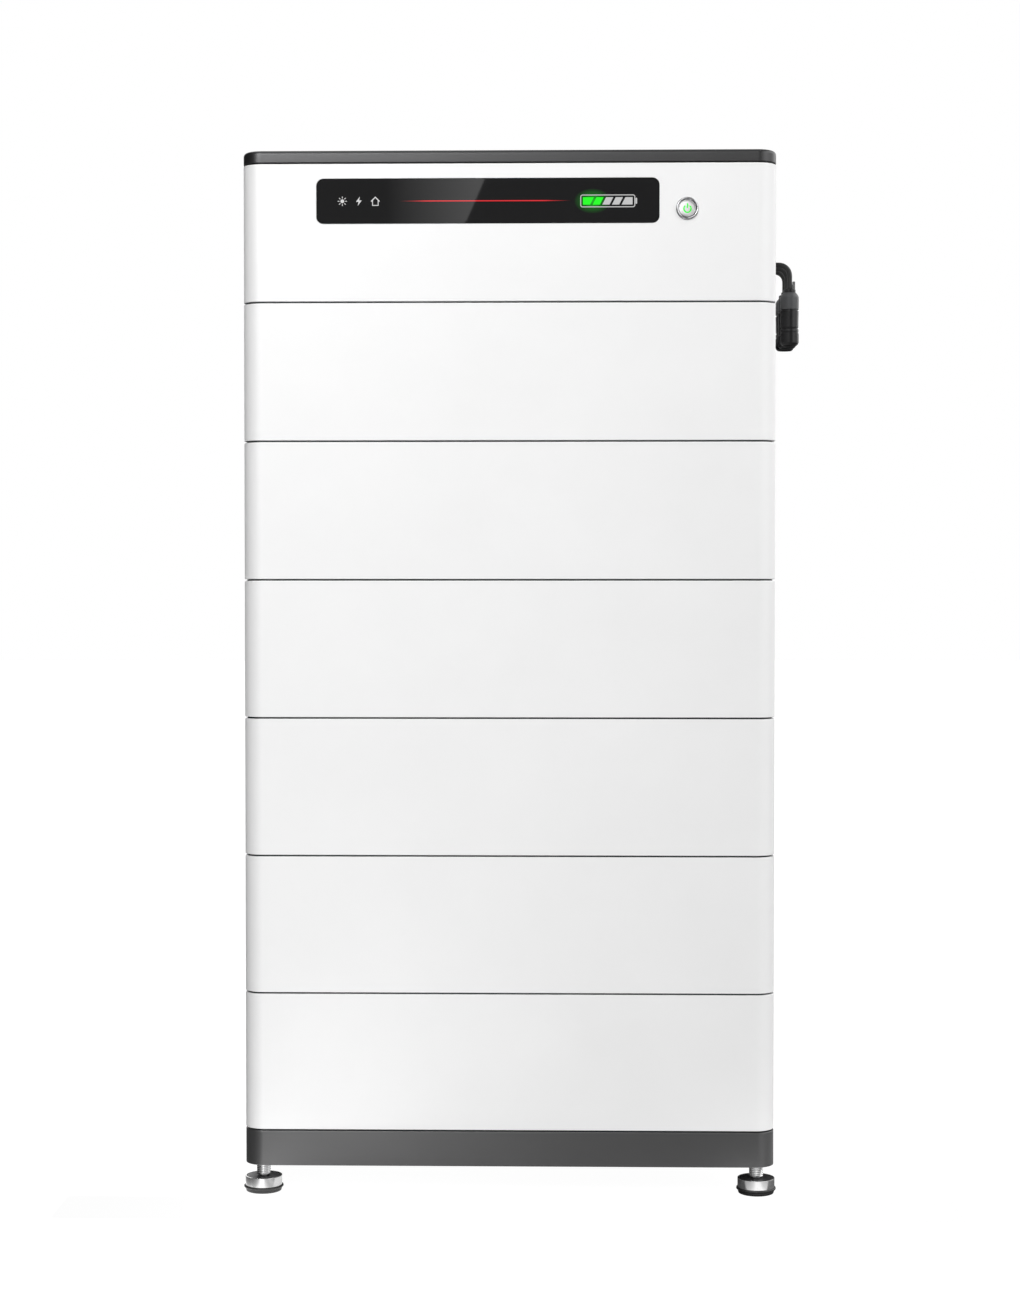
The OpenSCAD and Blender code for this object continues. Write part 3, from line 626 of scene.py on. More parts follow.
def buildDisplay():
    low, high = boxOf("display_glass")
    glass = roundedPlate("displayGlass", low, high, panel["corner"], 10)
    bevelWhere(glass, levelFront(low[1]), panel["edge"], 2)
    glassBlack = newMaterial("glassBlack", (0.0142, 0.0142, 0.0142), 0.015)
    smear = noiseOn(glassBlack, 14, 3.0)
    spread(glassBlack, smear.outputs["Fac"], 0.01, 0.02, "Roughness")
    tint(glassBlack, smear.outputs["Fac"], (0.0138, 0.0138, 0.0142), (0.0148, 0.0148, 0.0152))
    finished(glass, glassBlack, stands=["display_glass"])

    red = fadeAcross("statusRed", (1.0, 0.025, 0.035), 0.8,
                     ((statusLine["low"] + statusLine["high"]) / 2, -188, statusLine["z"]),
                     ((statusLine["high"] - statusLine["low"]) / 2, 40, 40), 0.65)
    half = statusLine["thick"] / 2
    z = statusLine["z"]
    left, right, point = statusLine["low"], statusLine["high"], statusLine["point"]
    line = signAt("statusLine", [(left, z), (left + point, z - half), (right - point, z - half), (right, z),
                                 (right - point, z + half), (left + point, z + half)])
    finished(line, red)

    grey = glowing("signGrey", (0.62, 0.62, 0.62), 0.88)
    front = low[1]
    y0, y1 = front - signs["proud"], front + signs["thick"]
    (frameX0, frameZ0), (frameX1, frameZ1) = charge["low"], charge["high"]
    wall, radius = charge["wall"], charge["radius"]
    frameOuter = roundedPlate("chargeFrame", (frameX0, y0, frameZ0), (frameX1, y1, frameZ1), radius, 6)
    frameInner = roundedPlate("chargeHole", (frameX0 + wall, y0 - 1, frameZ0 + wall),
                              (frameX1 - wall, y1 + 1, frameZ1 - wall), radius - wall, 6)
    cutAway(frameOuter, frameInner)
    middleZ = (frameZ0 + frameZ1) / 2
    nubWidth, nubHalf = charge["nub"]
    nubX = frameX1 + 0.25
    nub = roundedPlate("chargeNub", (nubX, y0, middleZ - nubHalf), (nubX + nubWidth, y1, middleZ + nubHalf), 0.8, 3)
    finished(joined("chargeFrame", [frameOuter, nub]), grey)

    green = glowing("signGreen", (0.01, 1.0, 0.01), 1.0)
    x0, z0 = charge["barLow"]
    x1, z1 = charge["barHigh"]
    lean, gap, bars = charge["lean"], charge["gap"], charge["bars"]
    width = (x1 - x0 - lean - gap * (bars - 1)) / bars
    for k in range(bars):
        left = x0 + k * (width + gap)
        corners = [(left, z0), (left + width, z0), (left + width + lean, z1), (left + lean, z1)]
        if k == 0:
            corners = [(left, z0), (left + width, z0), (left + width + lean, z1), (left, z1)]
        if k == bars - 1:
            corners = [(left, z0), (left + width + lean, z0), (left + width + lean, z1), (left + lean, z1)]
        bar = signAt(f"chargeBar_{k + 1}", corners)
        finished(bar, green if k < charge["lit"] else grey)
    # painted glow: a plate just inside the glass whose green light fades out round the lit bars; it is no lamp
    litWidth = charge["lit"] * (width + gap)
    reach = charge["haze"]
    haze = fadeAcross("greenPaintedGlow", (0.01, 0.5, 0.015), 0.8, (x0 + litWidth / 2, front, middleZ),
                      (litWidth / 2 + reach, 40, reach + 4), 0.1, 0.24)
    glow = roundedPlate("chargeGlow", (x0 - reach, front - 0.02, middleZ - reach - 4),
                        (x0 + litWidth + reach, front + 0.2, middleZ + reach + 4), 6, 5)
    finished(glow, haze)
    print("display built")


pictograms = {"x": -186.5, "z": 1121.6, "step": 18.5, "size": 5.2, "wallInner": 2.7, "wallOuter": 3.6,
              "stroke": 0.9, "disc": 2.1, "rays": 8, "rayFrom": 3.2, "rayHalf": 0.4}


def buildPictograms():
    # plain signs for sun, power and home
    front = boxOf("display_glass")[0][1] - signs["proud"]
    pale = glowing("signPale", (0.75, 0.75, 0.75), 0.9)
    x, z, s = pictograms["x"], pictograms["z"], pictograms["size"]
    disc, start, half = pictograms["disc"], pictograms["rayFrom"], pictograms["rayHalf"]
    sun = [addTurned("sunDisc", [(0, 0), (disc, 0), (disc, 0.15), (0, 0.15)], (x, front, z), "Y", 24)]
    for k in range(pictograms["rays"]):
        a = 2 * math.pi * k / pictograms["rays"]
        ray = [(start, -half), (s, -half), (s, half), (start, half)]
        sun.append(signAt("sunRay", [(x + u * math.cos(a) - v * math.sin(a), z + u * math.sin(a) + v * math.cos(a))
                                     for u, v in ray]))
    x += pictograms["step"]
    bolt = signAt("bolt", [(x + 1.2, z + s), (x - 3.2, z - 0.7), (x - 0.3, z - 0.7), (x - 1.2, z - s),
                           (x + 3.2, z + 0.9), (x + 0.3, z + 0.9)])
    x += pictograms["step"]
    inner, outer, stroke = pictograms["wallInner"], pictograms["wallOuter"], pictograms["stroke"]
    house = [signAt("houseRoof", [(x - s, z), (x - s + 1, z - 0.8), (x, z + 3.7), (x + s - 1, z - 0.8), (x + s, z),
                                  (x, z + s)]),
             signAt("houseLeft", [(x - outer, z - s), (x - inner, z - s), (x - inner, z + 1.2),
                                  (x - outer, z + 0.6)]),
             signAt("houseRight", [(x + inner, z - s), (x + outer, z - s), (x + outer, z + 0.6),
                                   (x + inner, z + 1.2)]),
             signAt("houseFloor", [(x - outer, z - s), (x + outer, z - s), (x + outer, z - s + stroke),
                                   (x - outer, z - s + stroke)])]
    finished(joined("displaySigns", sun + [bolt] + house), pale)
    print("display signs built")


buildDisplay()
buildPictograms()


# button
button = {"ring": 12.7, "bore": 9.45, "cap": 9.35, "stem": 3.5, "symbol": 4.7, "stroke": 1.35}


def buildButton():
    low, high = boxOf("button_bezel")
    x, z = middleOf(low, high)[::2]
    front = low[1]
    bore, outer = button["bore"], button["ring"]
    ring = addTurned("buttonRing", [
        (bore, 14), (bore, 1.3), (bore + 0.3, 0.9), (bore + 1.1, 0.25), (bore + 1.5, 0.05), (bore + 1.9, 0),
        (outer - 1, 0.15), (outer - 0.3, 0.6), (outer, 1.2), (outer, 2), (10.9, 2), (10.9, 24), (3.55, 24),
        (3.55, 14), (bore, 14)], (x, front, z), "Y", 64)
    finished(ring, chromeRing, stands=["button_bezel"])
    capLow, capHigh = boxOf("button_cap")
    capFront = capLow[1]
    edge, stem, deep = button["cap"], button["stem"], capHigh[1] - capFront
    cap = addTurned("buttonCap", [
        (0, 0.25), (edge - 2.2, 0.25), (edge - 1.9, 0.45), (edge - 1.5, 0.5), (edge - 1.2, 0.25), (edge - 0.7, 0),
        (edge - 0.25, 0.1), (edge, 0.5), (edge, 5), (stem, 5), (stem, deep), (0, deep)],
        (x, capFront, z), "Y", 64)
    finished(cap, satinSteel, "button", stands=["button_cap"])
    green = glowing("symbolGreen", (0.02, 1.0, 0.03), 1.0)
    r, t = button["symbol"], button["stroke"]
    arc = addTurned("symbolArc", [(r - t, 0), (r, 0), (r, 0.2), (r - t, 0.2), (r - t, 0)],
                    (0, 0, 0), "Z", 40, 290)
    arc.rotation_euler = (-math.pi / 2, 0, 0)
    settle(arc)
    arc.rotation_euler = (0, math.radians(-125), 0)
    arc.location = (x * mm, (capFront + 0.1) * mm, (z - 0.5) * mm)
    settle(arc)
    bar = addPrism("symbolBar", [(x - t / 2, z + 0.2), (x + t / 2, z + 0.2), (x + t / 2, z + r + 0.7),
                                 (x - t / 2, z + r + 0.7)], capFront + 0.1, capFront + 0.3)
    finished(joined("buttonSymbol", [arc, bar]), green, "button")
    print("button built")


buildButton()


# feet
foot = {"cup": 21, "cupTop": 17.6, "cupFloor": 2, "bead": 22.5, "beadTop": 7.2, "sole": 20.2, "lip": 1.4,
        "ballBore": 5.6, "neck": 5.5, "stud": 8, "thread": 2, "groove": 0.55}


def buildFoot(i):
    x, y = middleOf(*boxOf(f"foot_{i}_cup"))[:2]
    r, top, bottom, lip = foot["cup"], foot["cupTop"], foot["cupFloor"], foot["lip"]
    cup = addTurned(f"footCup_{i}", [
        (0, bottom), (r - 0.6, bottom), (r - 0.4, 6), (r, 6.5), (r, top - 0.3), (r - 0.1, top - 0.08), (r - 0.3, top),
        (r - lip + 0.2, top), (r - lip, top - 0.2), (r - lip, top - 0.8), (foot["ballBore"], top - 0.8),
        (foot["ballBore"] - 0.05, 11.6), (0, 11.6)], (x, y, 0), steps=96)
    finished(cup, polishedSteel, f"foot_{i}", stands=[f"foot_{i}_cup"])
    # a thin black ring laid on the cup's flat top, dark all across it
    darkTopRing = addTurned(f"footDarkTopRing_{i}", [
        (5.9, top - 0.9), (r - lip - 0.1, top - 0.9), (r - lip - 0.1, top - 0.35), (r - lip - 0.4, top - 0.2),
        (9.2, top - 0.3), (8.4, top), (6.4, top), (5.9, top - 0.5), (5.9, top - 0.9)], (x, y, 0), steps=72)
    finished(darkTopRing, blackPlastic, f"foot_{i}")
    sole, bead, beadTop = foot["sole"], foot["bead"], foot["beadTop"]
    tyre = addTurned(f"footSole_{i}", [
        (0, 0.6), (12, 0.6), (13, 0), (sole - 1.2, 0), (sole - 0.3, 0.4), (sole, 1.2), (sole + 0.1, beadTop - 3.6),
        (bead - 1, beadTop - 3.1), (bead - 0.2, beadTop - 2.4), (bead, beadTop - 1.6), (bead - 0.2, beadTop - 0.7),
        (bead - 0.8, beadTop - 0.15), (r + 0.05, beadTop), (r - 0.35, beadTop - 0.6), (r - 0.55, bottom - 0.1),
        (0, bottom - 0.1)], (x, y, 0), steps=72)
    finished(tyre, blackRubber, f"foot_{i}")
    studTop = boxOf(f"foot_{i}_stud")[1][2]
    r, pitch, root = foot["stud"], foot["thread"], foot["stud"] - foot["groove"]
    outline = [(0, 11.7), (foot["neck"] - 0.3, 11.7), (foot["neck"], 12), (foot["neck"], top + 0.6),
               (root - 0.3, top + 0.9)]
    z = top + 1.2
    while z + pitch < studTop - 1:
        outline += [(root, z), (r - 0.08, z + pitch * 0.3), (r - 0.08, z + pitch * 0.7)]
        z += pitch
    outline += [(root, z), (root, studTop - 0.8), (r - 2, studTop), (0, studTop)]
    stud = addTurned(f"footStud_{i}", outline, (x, y, 0), steps=48)
    finished(stud, studSteel, f"stud_{i}", stands=[f"foot_{i}_stud"], smooth=25)


for i in range(1, 5):
    buildFoot(i)
print("feet built")


# leads
lead = {"d": 6, "count": 3}
# route from the gland's nose, x outwards and z upwards, as the leads hang
leadRoute = [(0, 0), (2, 0), (4, 0), (7.1, -0.4), (10, -1.6), (12.5, -3.5), (14.4, -6), (15.6, -8.9), (16, -12),
             (16, -15), (16, -18), (16, -21), (16, -24), (16, -26), (16, -27.5)]


def buildLead(i):
    low, high = boxOf(f"pigtail_{i}")
    y = middleOf(low, high)[1]
    startX, startZ = low[0], high[2] - lead["d"] / 2
    curve = bpy.data.curves.new(f"leadLine_{i}", "CURVE")
    curve.dimensions = "3D"
    curve.bevel_depth = lead["d"] / 2 * mm
    curve.bevel_resolution = 6
    curve.use_fill_caps = True
    line = curve.splines.new("NURBS")
    line.points.add(len(leadRoute) - 1)
    for point, (x, z) in zip(line.points, leadRoute):
        point.co = ((startX + x) * mm, y * mm, (startZ + z) * mm, 1)
    line.order_u = 3
    line.use_endpoint_u = True
    line.resolution_u = 6
    cord = bpy.data.objects.new(f"lead_{i}", curve)
    bpy.context.scene.collection.objects.link(cord)
    cord.data.materials.append(blackRubber)
    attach(cord, "root")
    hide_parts(f"pigtail_{i}")
    endX, endZ = startX + leadRoute[-1][0], startZ + leadRoute[-1][1]
    plugs = addConnector(i, endX, y, endZ)
    newGland = addGland(i, startX, y, startZ)
    return plugs, newGland


connector = {
    "collar": [(0, 0), (5.6, 0), (6.6, -0.5), (7, -1.2), (7, -4.2), (7.4, -4.6), (0, -4.6)],
    "head": [(0, -4.7), (7.5, -4.7), (9, -6.3), (10.2, -8.4), (10.6, -9.4), (10.7, -10.2), (10.7, -23.2),
             (10.3, -23.9), (9.8, -24.1), (0, -24.1)],
    "sleeve": [(0, -24.2), (9.5, -24.2), (9.6, -25), (10.4, -25.4), (10.6, -26), (10.45, -33), (10.35, -44.4),
               (9.7, -45), (9.6, -46), (10.2, -46.4), (10.5, -46.9), (10.5, -49.4), (10.1, -49.8), (10.1, -50.6),
               (10.5, -51), (10.5, -62.4), (10, -63), (9.9, -63.6), (9.5, -64.2), (8.8, -64.5), (8.6, -65.1),
               (8.2, -65.3), (7.6, -64.9), (7.3, -60), (0, -60)],
    "rib": ((10.1, -0.7, -22), (10.7, 0.7, -12), 16), "mark": ((10.1, -0.55, -61.8), (10.68, 0.55, -52), 20),
    "latch": ((3.4, -1.7, -0.4), (6.4, 1.7, 8.6)), "pins": 3, "pinRing": 3.4}
gland = {"hex": 8.6, "dome": 7.1, "thread": 6, "backHex": 8.5}


def addRing(name, low, high, count, place):
    # the same small block, set round an axis
    blocks = []
    for k in range(count):
        block = addBlock(name, low, high)
        block.rotation_euler = (0, 0, 2 * math.pi * k / count)
        block.location = [p * mm for p in place]
        blocks.append(settle(block))
    return blocks


def addConnector(i, x, y, z):
    place = (x, y, z)
    head = addTurned(f"connectorHead_{i}", connector["head"], place, steps=40)
    head = joined(f"connectorHead_{i}", [head] + addRing("rib", *connector["rib"], place))
    finished(head, connectorGrey)
    collar = addTurned("connectorCollar", connector["collar"], place, steps=40)
    sleeve = addTurned(f"connectorSleeve_{i}", connector["sleeve"], place, steps=40)
    sleeve = joined(f"connectorSleeve_{i}", [sleeve, collar] + addRing("mark", *connector["mark"], place))
    finished(sleeve, sleeveBlack)
    latch = addRing(f"connectorLatch_{i}", *connector["latch"], 1, place)[0]
    finished(softEdges(latch, 0.7, 3), latchGrey)
    pins = []
    for k in range(connector["pins"]):
        a = 2 * math.pi * k / connector["pins"]
        pinX, pinY = x + connector["pinRing"] * math.cos(a), y + connector["pinRing"] * math.sin(a)
        pins.append(addDrum("pin", 1.2, 3.4, (pinX, pinY, z - 63.2), "Z", 16))
    pins = finished(joined(f"connectorPins_{i}", pins), bareCopper)
    return [head, sleeve, latch, pins]


def addGland(i, x, y, z):
    nut = addDrum("glandNut", gland["hex"], 2.6, (x - 6, y, z), "X", 6, 0.35)
    r = gland["dome"]
    dome = addTurned("glandDome", [(0, 2.4), (r, 2.4), (r, 4), (r - 0.4, 4.7), (r - 1.5, 5.5), (r - 2.8, 6), (0, 6)],
                     (x - 6, y, z), "X", 40)
    thread = addDrum("glandThread", gland["thread"], 11.8, (x - 18, y, z), "X", 32)
    backNut = addDrum("glandBackNut", gland["backHex"], 4, (x - 11.5, y, z), "X", 6, 0.4)
    return finished(joined(f"gland_{i}", [nut, dome, thread, backNut]), blackPlastic)


def buildLeads():
    plugs = []
    for i in range(1, lead["count"] + 1):
        newPlugs, newGland = buildLead(i)
        plugs += newPlugs
    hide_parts("pigtail_plugs")
    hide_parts("cable_glands")
    print("leads built")


buildLeads()


# breaker hatch
toggle = {"behind": 2, "slot": (7.3, 40.6), "drum": (6.95, 39.8), "reach": (5, 25), "half": 20, "thick": 5,
          "lean": -40, "grooves": 3, "grooveFrom": 15, "grooveStep": 3}
flap = {"hinge": 300.9, "barrel": 2.2, "pin": 1.2, "inset": 3.6, "thick": 2, "corner": 4, "tab": 13}


def buildHatch():
    low, high = boxOf("breaker_tray")
    flange, wall = hatch["flange"], hatch["wall"]
    behind, before = hatch["flangeBehind"]
    outer = addBlock("breakerTray", (low[0], low[1] + flange, low[2] + flange),
                     (high[0], high[1] - flange, high[2] - flange))
    flangePlate = addBlock("trayFlange", (high[0] - behind, low[1], low[2]), (high[0] - before, high[1], high[2]))
    cavity = addBlock("cavity", (low[0] + hatch["floor"], low[1] + flange + wall, low[2] + flange + wall),
                      (high[0] + 5, high[1] - flange - wall, high[2] - flange - wall))
    bevelWhere(cavity, alongX, hatch["corner"], 3)
    bodyLow, bodyHigh = boxOf("breaker_body")
    middleY, middleZ = middleOf(bodyLow, bodyHigh)[1:]
    halfY, halfZ = hatch["noseHole"]
    noseHole = addBlock("noseHole", (low[0] - 5, middleY - halfY, middleZ - halfZ),
                        (low[0] + 8, middleY + halfY, middleZ + halfZ))
    softEdges(outer, 0.7)
    cutAway(flangePlate, cavity, keep=True)
    cutAway(outer, cavity, noseHole)
    finished(joined("breakerTray", [outer, flangePlate]), blackPlastic,
             stands=["breaker_tray"])

    noseX, noseHalf = bodyHigh[0] - hatch["noseLength"], hatch["noseHeight"] / 2
    body = addBlock("breakerBody", bodyLow, (noseX, bodyHigh[1], bodyHigh[2]))
    nose = addBlock("breakerNose", (noseX - 0.5, bodyLow[1], middleZ - noseHalf),
                    (bodyHigh[0], bodyHigh[1], middleZ + noseHalf))
    softEdges(body, 0.8)
    softEdges(nose, 0.8)
    leverX = bodyHigh[0] - toggle["behind"]
    slotRadius, slotWidth = toggle["slot"]
    leverSlot = addDrum("leverSlot", slotRadius, slotWidth, (leverX, middleY - slotWidth / 2, middleZ), "Y", 40, 0.1)
    cutAway(nose, leverSlot)
    seams = []
    for side in (-1, 1):
        seamY, half = middleY + side * hatch["poleSeam"], hatch["seamWidth"] / 2
        seams.append(addBlock("seam", (bodyHigh[0] - 0.8, seamY - half, middleZ - 23),
                              (bodyHigh[0] + 1, seamY + half, middleZ + 23)))
    cutAway(nose, *seams)
    finished(joined("breakerBody", [body, nose]), lightPlastic, stands=["breaker_body"])

    drumRadius, drumWidth = toggle["drum"]
    drum = addDrum("leverDrum", drumRadius, drumWidth, (leverX, middleY - drumWidth / 2, middleZ), "Y", 40)
    (start, reach), half, thick = toggle["reach"], toggle["half"], toggle["thick"]
    handle = addBlock("leverHandle", (start, -half, -thick / 2), (reach, half, thick / 2))
    bevelWhere(handle, lambda a, b: near(a.x, reach) and near(b.x, reach), 1.8, 4)
    softEdges(handle, 0.4)

    def leaned(piece):
        piece.rotation_euler = (0, math.radians(toggle["lean"]), 0)
        piece.location = (leverX * mm, middleY * mm, middleZ * mm)
        return settle(piece)

    leaned(handle)
    grooves = []
    for k in range(toggle["grooves"]):
        grooveX = toggle["grooveFrom"] + toggle["grooveStep"] * k
        grooves.append(leaned(addBlock("groove", (grooveX, -18, 2.1), (grooveX + 1.2, 18, 3))))
    cutAway(handle, *grooves)
    lever = joined("breakerLever", [drum, handle])
    finished(lever, blackPlastic, "lever", stands=["breaker_lever"])

    flapLow, flapHigh = boxOf("breaker_flap")
    hingeX, hingeZ = flap["hinge"], flapHigh[2] - flap["barrel"]
    y0, y1 = flapLow[1] + flap["inset"], flapHigh[1] - flap["inset"]
    half = flap["thick"] / 2
    pane = addBlock("flapPane", (hingeX - half, y0, flapLow[2]), (hingeX + half, y1, hingeZ - 0.5))
    bevelWhere(pane, lambda a, b: alongX(a, b) and a.z < flapLow[2] + 1, flap["corner"], 5)
    softEdges(pane, 0.3)
    smoke = newMaterial("smokeClear", (0.35, 0.37, 0.39), 0.12, IOR=1.58, Transmission_Weight=0.85)
    haze = noiseOn(smoke, 60, 3.0)
    spread(smoke, haze.outputs["Fac"], 0.08, 0.16, "Roughness")
    finished(pane, smoke, "flap")
    barrel = addDrum("flapBarrel", flap["barrel"], y1 - y0, (hingeX, y0, hingeZ), "Y", 32)
    pin = addDrum("flapPin", flap["pin"], flapHigh[1] - flapLow[1], (hingeX, flapLow[1], hingeZ), "Y", 24)
    middle = (y0 + y1) / 2
    tab = addBlock("flapTab", (hingeX - 0.8, middle - flap["tab"], flapLow[2] + 2),
                   (hingeX + 2.2, middle + flap["tab"], flapLow[2] + 5))
    softEdges(tab, 0.5)
    rim = [addBlock("flapRim", (hingeX + 0.9, y0 + 0.5, flapLow[2] + 4.5), (hingeX + 1.4, y0 + 3, hingeZ - 3)),
           addBlock("flapRim", (hingeX + 0.9, y1 - 3, flapLow[2] + 4.5), (hingeX + 1.4, y1 - 0.5, hingeZ - 3))]
    finished(joined("flapFrame", [barrel, pin, tab] + rim), blackPlastic, "flap",
             stands=["breaker_flap"])
    print("breaker hatch built")


buildHatch()


# plates, screws and brackets
fixing = {"face": 300, "thick": 2, "width": 24, "height": 56, "corner": 4, "rise": 18, "seam": 1.5}
bracket = {"from": 180, "to": 221, "web": (219.4, 221.6), "thick": 2, "corner": 5, "anchor": 4.5,
           "anchorAt": (246, 10), "screwX": 200, "screwZ": 15, "screw": (5, 3, 2.5)}


def addSocketHead(name, place, axis, radius=4.0, height=1.4, key=2.0):
    outline = [(0, 0), (radius, 0), (radius, height - 0.5), (radius - 0.5, height), (0, height)]
    head = addTurned(name, outline, place, axis, 32)
    depth = {"X": (1, 0, 0), "-X": (-1, 0, 0), "Y": (0, 1, 0)}[axis]
    start = [p + d * (height - 0.9) for p, d in zip(place, depth)]
    recess = addDrum("recess", key, 2.0, start, axis, 6, 0.05)
    return cutAway(head, recess)


def buildFixings():
    middleY = middleOf(*boxOf("lock_plates"))[1]
    floors = [boxOf(f"module_{i}_case")[0][2] for i in range(1, 7)] + [boxOf("control_case")[0][2]]
    halfWidth, middleZ = fixing["width"] / 2, floors[0] - fixing["seam"] / 2
    plates = []
    heads = []
    for side in (-1, 1):
        face = fixing["face"] * side
        outside = face + fixing["thick"] * side
        first = addBlock("plate", (min(face, outside), middleY - halfWidth, middleZ - fixing["height"] / 2),
                         (max(face, outside), middleY + halfWidth, middleZ + fixing["height"] / 2))
        bevelWhere(first, alongX, fixing["corner"], 5)
        softEdges(first, 0.35)
        for k, floor in enumerate(floors):
            plates.append(first if k == 0 else copied(first, "plate", (0, 0, floor - floors[0])))
        firstHead = addSocketHead("head", (outside, middleY, floors[0] + fixing["rise"]), "X" if side > 0 else "-X")
        for k, floor in enumerate(floors):
            rise = floor - floors[0]
            heads.append(firstHead if k == 0 else copied(firstHead, "head", (0, 0, rise)))
            heads.append(copied(firstHead, "head", (0, 0, rise - 2 * fixing["rise"] - fixing["seam"])))
    finished(joined("lockPlates", plates), zinc, stands=["lock_plates"])
    finished(joined("lockScrewHeads", heads), studSteel)
    print("lock plates built")


def buildBrackets():
    low, high = boxOf("wall_brackets")
    back = boxOf("control_case")[1][1]
    middleZ = middleOf(low, high)[2]
    thick, corner, (webX0, webX1) = bracket["thick"], bracket["corner"], bracket["web"]
    pad = addBlock("bracket", (bracket["from"], back, low[2]), (bracket["to"], back + thick, high[2]))
    web = addBlock("bracketWeb", (webX0, back, low[2]), (webX1, high[1], high[2]))
    ear = addBlock("bracketEar", (webX0, high[1] - thick, low[2]), high)
    bevelWhere(pad, lambda a, b: alongY(a, b) and a.x < bracket["from"] + 10, corner, 5)
    bevelWhere(ear, lambda a, b: alongY(a, b) and a.x > webX1 + 18, corner, 5)
    holeX, holeBack = bracket["anchorAt"]
    hole = addDrum("anchorHole", bracket["anchor"], 20, (holeX, high[1] - holeBack, middleZ), "Y", 32)
    cutAway(ear, hole)
    for part in (pad, web, ear):
        softEdges(part, 0.35)
    right = joined("wallBracketRight", [pad, web, ear])
    left = copied(right, "wallBracketLeft", mirrorX=True)
    finished(joined("wallBrackets", [right, left]), zinc, stands=["wall_brackets"])
    heads = []
    for side in (-1, 1):
        for level in (-1, 1):
            place = (side * bracket["screwX"], back + thick, middleZ + level * bracket["screwZ"])
            heads.append(addSocketHead("head", place, "Y", *bracket["screw"]))
    finished(joined("bracketScrewHeads", heads), studSteel)
    print("wall brackets built")


buildFixings()
buildBrackets()


# floor and light
studio = {"backdrop": 1.0, "floorPaint": (0.1, 0.1, 0.1), "floorGlow": 0.97, "floorTop": 2.0,
          "floor": [(-1.0, 0.02), (-0.37, 0.04), (-0.335, 0.4), (-0.305, 1.9), (-0.265, 1.7), (-0.245, 0.8),
                    (-0.22, 1.1), (0.05, 0.16), (0.2, 0.05), (0.36, 0.04), (0.42, 0.4), (0.47, 0.7), (0.53, 0.1),
                    (1.0, 0.1)],
          "footGlow": [(-1.0, 0.1), (-0.45, 0.1), (-0.355, 0.2), (-0.33, 0.45), (-0.312, 0.8), (-0.302, 1.7),
                       (-0.272, 1.7), (-0.26, 0.9), (-0.243, 0.6), (-0.225, 0.85), (-0.19, 0.3), (0.2, 0.5),
                       (0.244, 0.8), (0.262, 1.1), (0.273, 1.55), (0.306, 1.6), (0.32, 1.0), (0.345, 0.85),
                       (0.4, 0.2), (1.0, 0.1)],
          "sheen": (-0.335, -0.13, 1.5), "roomTop": 4.0,
          "room": [(-1.0, 0.01), (-0.46, 0.02), (-0.32, 1.5), (-0.12, 1.6), (0.08, 0.12), (0.45, 0.12), (0.6, 2.3),
                   (0.86, 2.6), (0.95, 1.5), (1.0, 1.1)]}
key = {"place": (-1.25, -3.2, 2.4), "aim": (0, -0.2, 0.8), "size": (1.8, 1.4), "power": 87}


def addCard(name, low, high, material):
    card = addBlock(name, low, high)
    card.data.materials.append(material)
    card.visible_camera = False
    return card


def addLamp(name, place, target, size, power):
    bpy.ops.object.light_add(type="AREA", location=place)
    lamp = bpy.context.object
    lamp.name = name
    lamp.data.shape = "RECTANGLE"
    lamp.data.size, lamp.data.size_y = size
    lamp.data.energy = power
    aim = Vector(target) - Vector(place)
    lamp.rotation_euler = aim.to_track_quat("-Z", "Y").to_euler()
    return lamp


def setStops(ramp, values, top):
    # a ramp from -1 to 1, made of (place, brightness) pairs
    stops = ramp.color_ramp.elements
    for where, light in values:
        ends = {-1.0: stops[0], 1.0: stops[len(stops) - 1]}
        stop = ends.get(where) or stops.new((where + 1) / 2)
        stop.color = [light / top] * 3 + [1]


def acrossRoom(material, way, values, top):
    # brightness by how far right a place or a direction is
    place = addNode(material, "ShaderNodeTexCoord")
    apart = addNode(material, "ShaderNodeSeparateXYZ")
    share = addNode(material, "ShaderNodeMapRange", From_Min=-1)
    ramp = addNode(material, "ShaderNodeValToRGB")
    setStops(ramp, values, top)
    link(material, place.outputs[way], apart.inputs["Vector"])
    link(material, apart.outputs["X"], share.inputs["Value"])
    link(material, share.outputs["Result"], ramp.inputs["Fac"])
    return ramp.outputs["Color"]


def paintWorld():
    world = bpy.data.worlds.new("studioWorld")
    world.use_nodes = True
    bpy.context.scene.world = world
    back = world.node_tree.nodes["Background"]
    setSockets(back, Strength=studio["roomTop"])
    link(world, acrossRoom(world, "Generated", studio["room"], studio["roomTop"]), back.inputs["Color"])
    bright = addNode(world, "ShaderNodeBackground", Color=(1, 1, 1, 1), Strength=studio["backdrop"])
    path = addNode(world, "ShaderNodeLightPath")
    mix = addNode(world, "ShaderNodeMixShader")
    link(world, path.outputs["Is Camera Ray"], mix.inputs["Fac"])
    link(world, back.outputs["Background"], mix.inputs[1])
    link(world, bright.outputs["Background"], mix.inputs[2])
    link(world, mix.outputs["Shader"], world.node_tree.nodes["World Output"].inputs["Surface"])


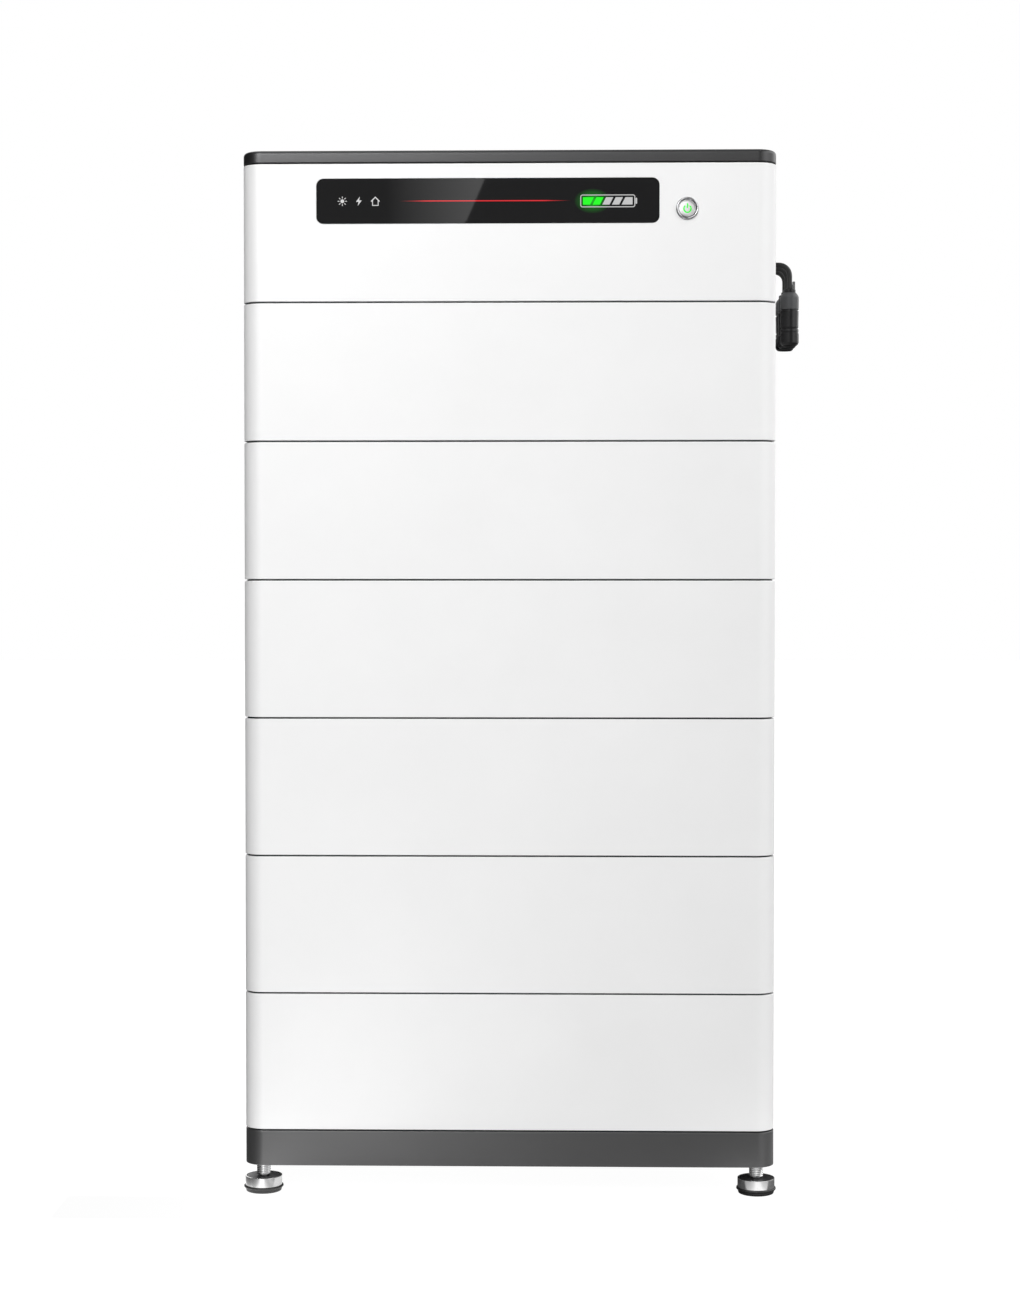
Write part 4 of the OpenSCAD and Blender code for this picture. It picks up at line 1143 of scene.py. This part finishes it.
def layFloor():
    paint = newMaterial("floorPaint", studio["floorPaint"], 0.8, Emission_Color=(1, 1, 1, 1))
    light = acrossRoom(paint, "Object", studio["floor"], studio["floorTop"])
    bounce = addNode(paint, "ShaderNodeMath", operation="MULTIPLY")
    bounce.inputs[1].default_value = studio["floorTop"]
    path = addNode(paint, "ShaderNodeLightPath")
    glow = addNode(paint, "ShaderNodeMix", B=studio["floorGlow"])
    link(paint, light, bounce.inputs[0])
    link(paint, path.outputs["Is Camera Ray"], glow.inputs["Factor"])
    link(paint, bounce.outputs["Value"], glow.inputs["A"])
    link(paint, glow.outputs["Result"], shaderOf(paint).inputs["Emission Strength"])
    clearPick()
    bpy.ops.mesh.primitive_plane_add(size=40, location=(0, 0, 0))
    ground = bpy.context.object
    ground.name = "studioFloor"
    ground.data.materials.append(paint)


def hangSheen():
    # a slanted card whose light grows to the right, mirrored by the glass
    sheen = newMaterial("sheenCard", (0.004, 0.004, 0.004), 0.9, Emission_Color=(1, 1, 1, 1))
    start, end, top = studio["sheen"]
    place = addNode(sheen, "ShaderNodeTexCoord")
    apart = addNode(sheen, "ShaderNodeSeparateXYZ")
    ramp = addNode(sheen, "ShaderNodeMapRange", From_Min=start, From_Max=end, To_Min=0.0, To_Max=top)
    link(sheen, place.outputs["Object"], apart.inputs["Vector"])
    link(sheen, apart.outputs["X"], ramp.inputs["Value"])
    link(sheen, ramp.outputs["Result"], shaderOf(sheen).inputs["Emission Strength"])
    card = addPrism("cardSheen", [(-400, 1440), (-187, 1440), (-90, 1664), (-400, 1664)], -2897, -2894)
    card.data.materials.append(sheen)
    card.visible_camera = False


def layFootGlow():
    strip = newMaterial("footGlow", (0.02, 0.02, 0.02), 0.8, Emission_Strength=studio["floorTop"])
    light = acrossRoom(strip, "Object", studio["footGlow"], studio["floorTop"])
    link(strip, light, shaderOf(strip).inputs["Emission Color"])
    addCard("footGlow", (-500, -290, 0.1), (500, -190, 0.4), strip)


def buildStudio():
    bpy.context.scene.view_settings.view_transform = "Standard"
    paintWorld()
    layFloor()
    flag = newMaterial("flagBlack", (0.004, 0.004, 0.004), 0.9)
    # a dark board by the lens, which the glass mirrors
    addCard("flagGlass", (-640, -2905, 1380), (380, -2900, 1760), flag)
    hangSheen()
    layFootGlow()
    addLamp("keyLamp", key["place"], key["aim"], key["size"], key["power"])
    print("studio set")


buildStudio()
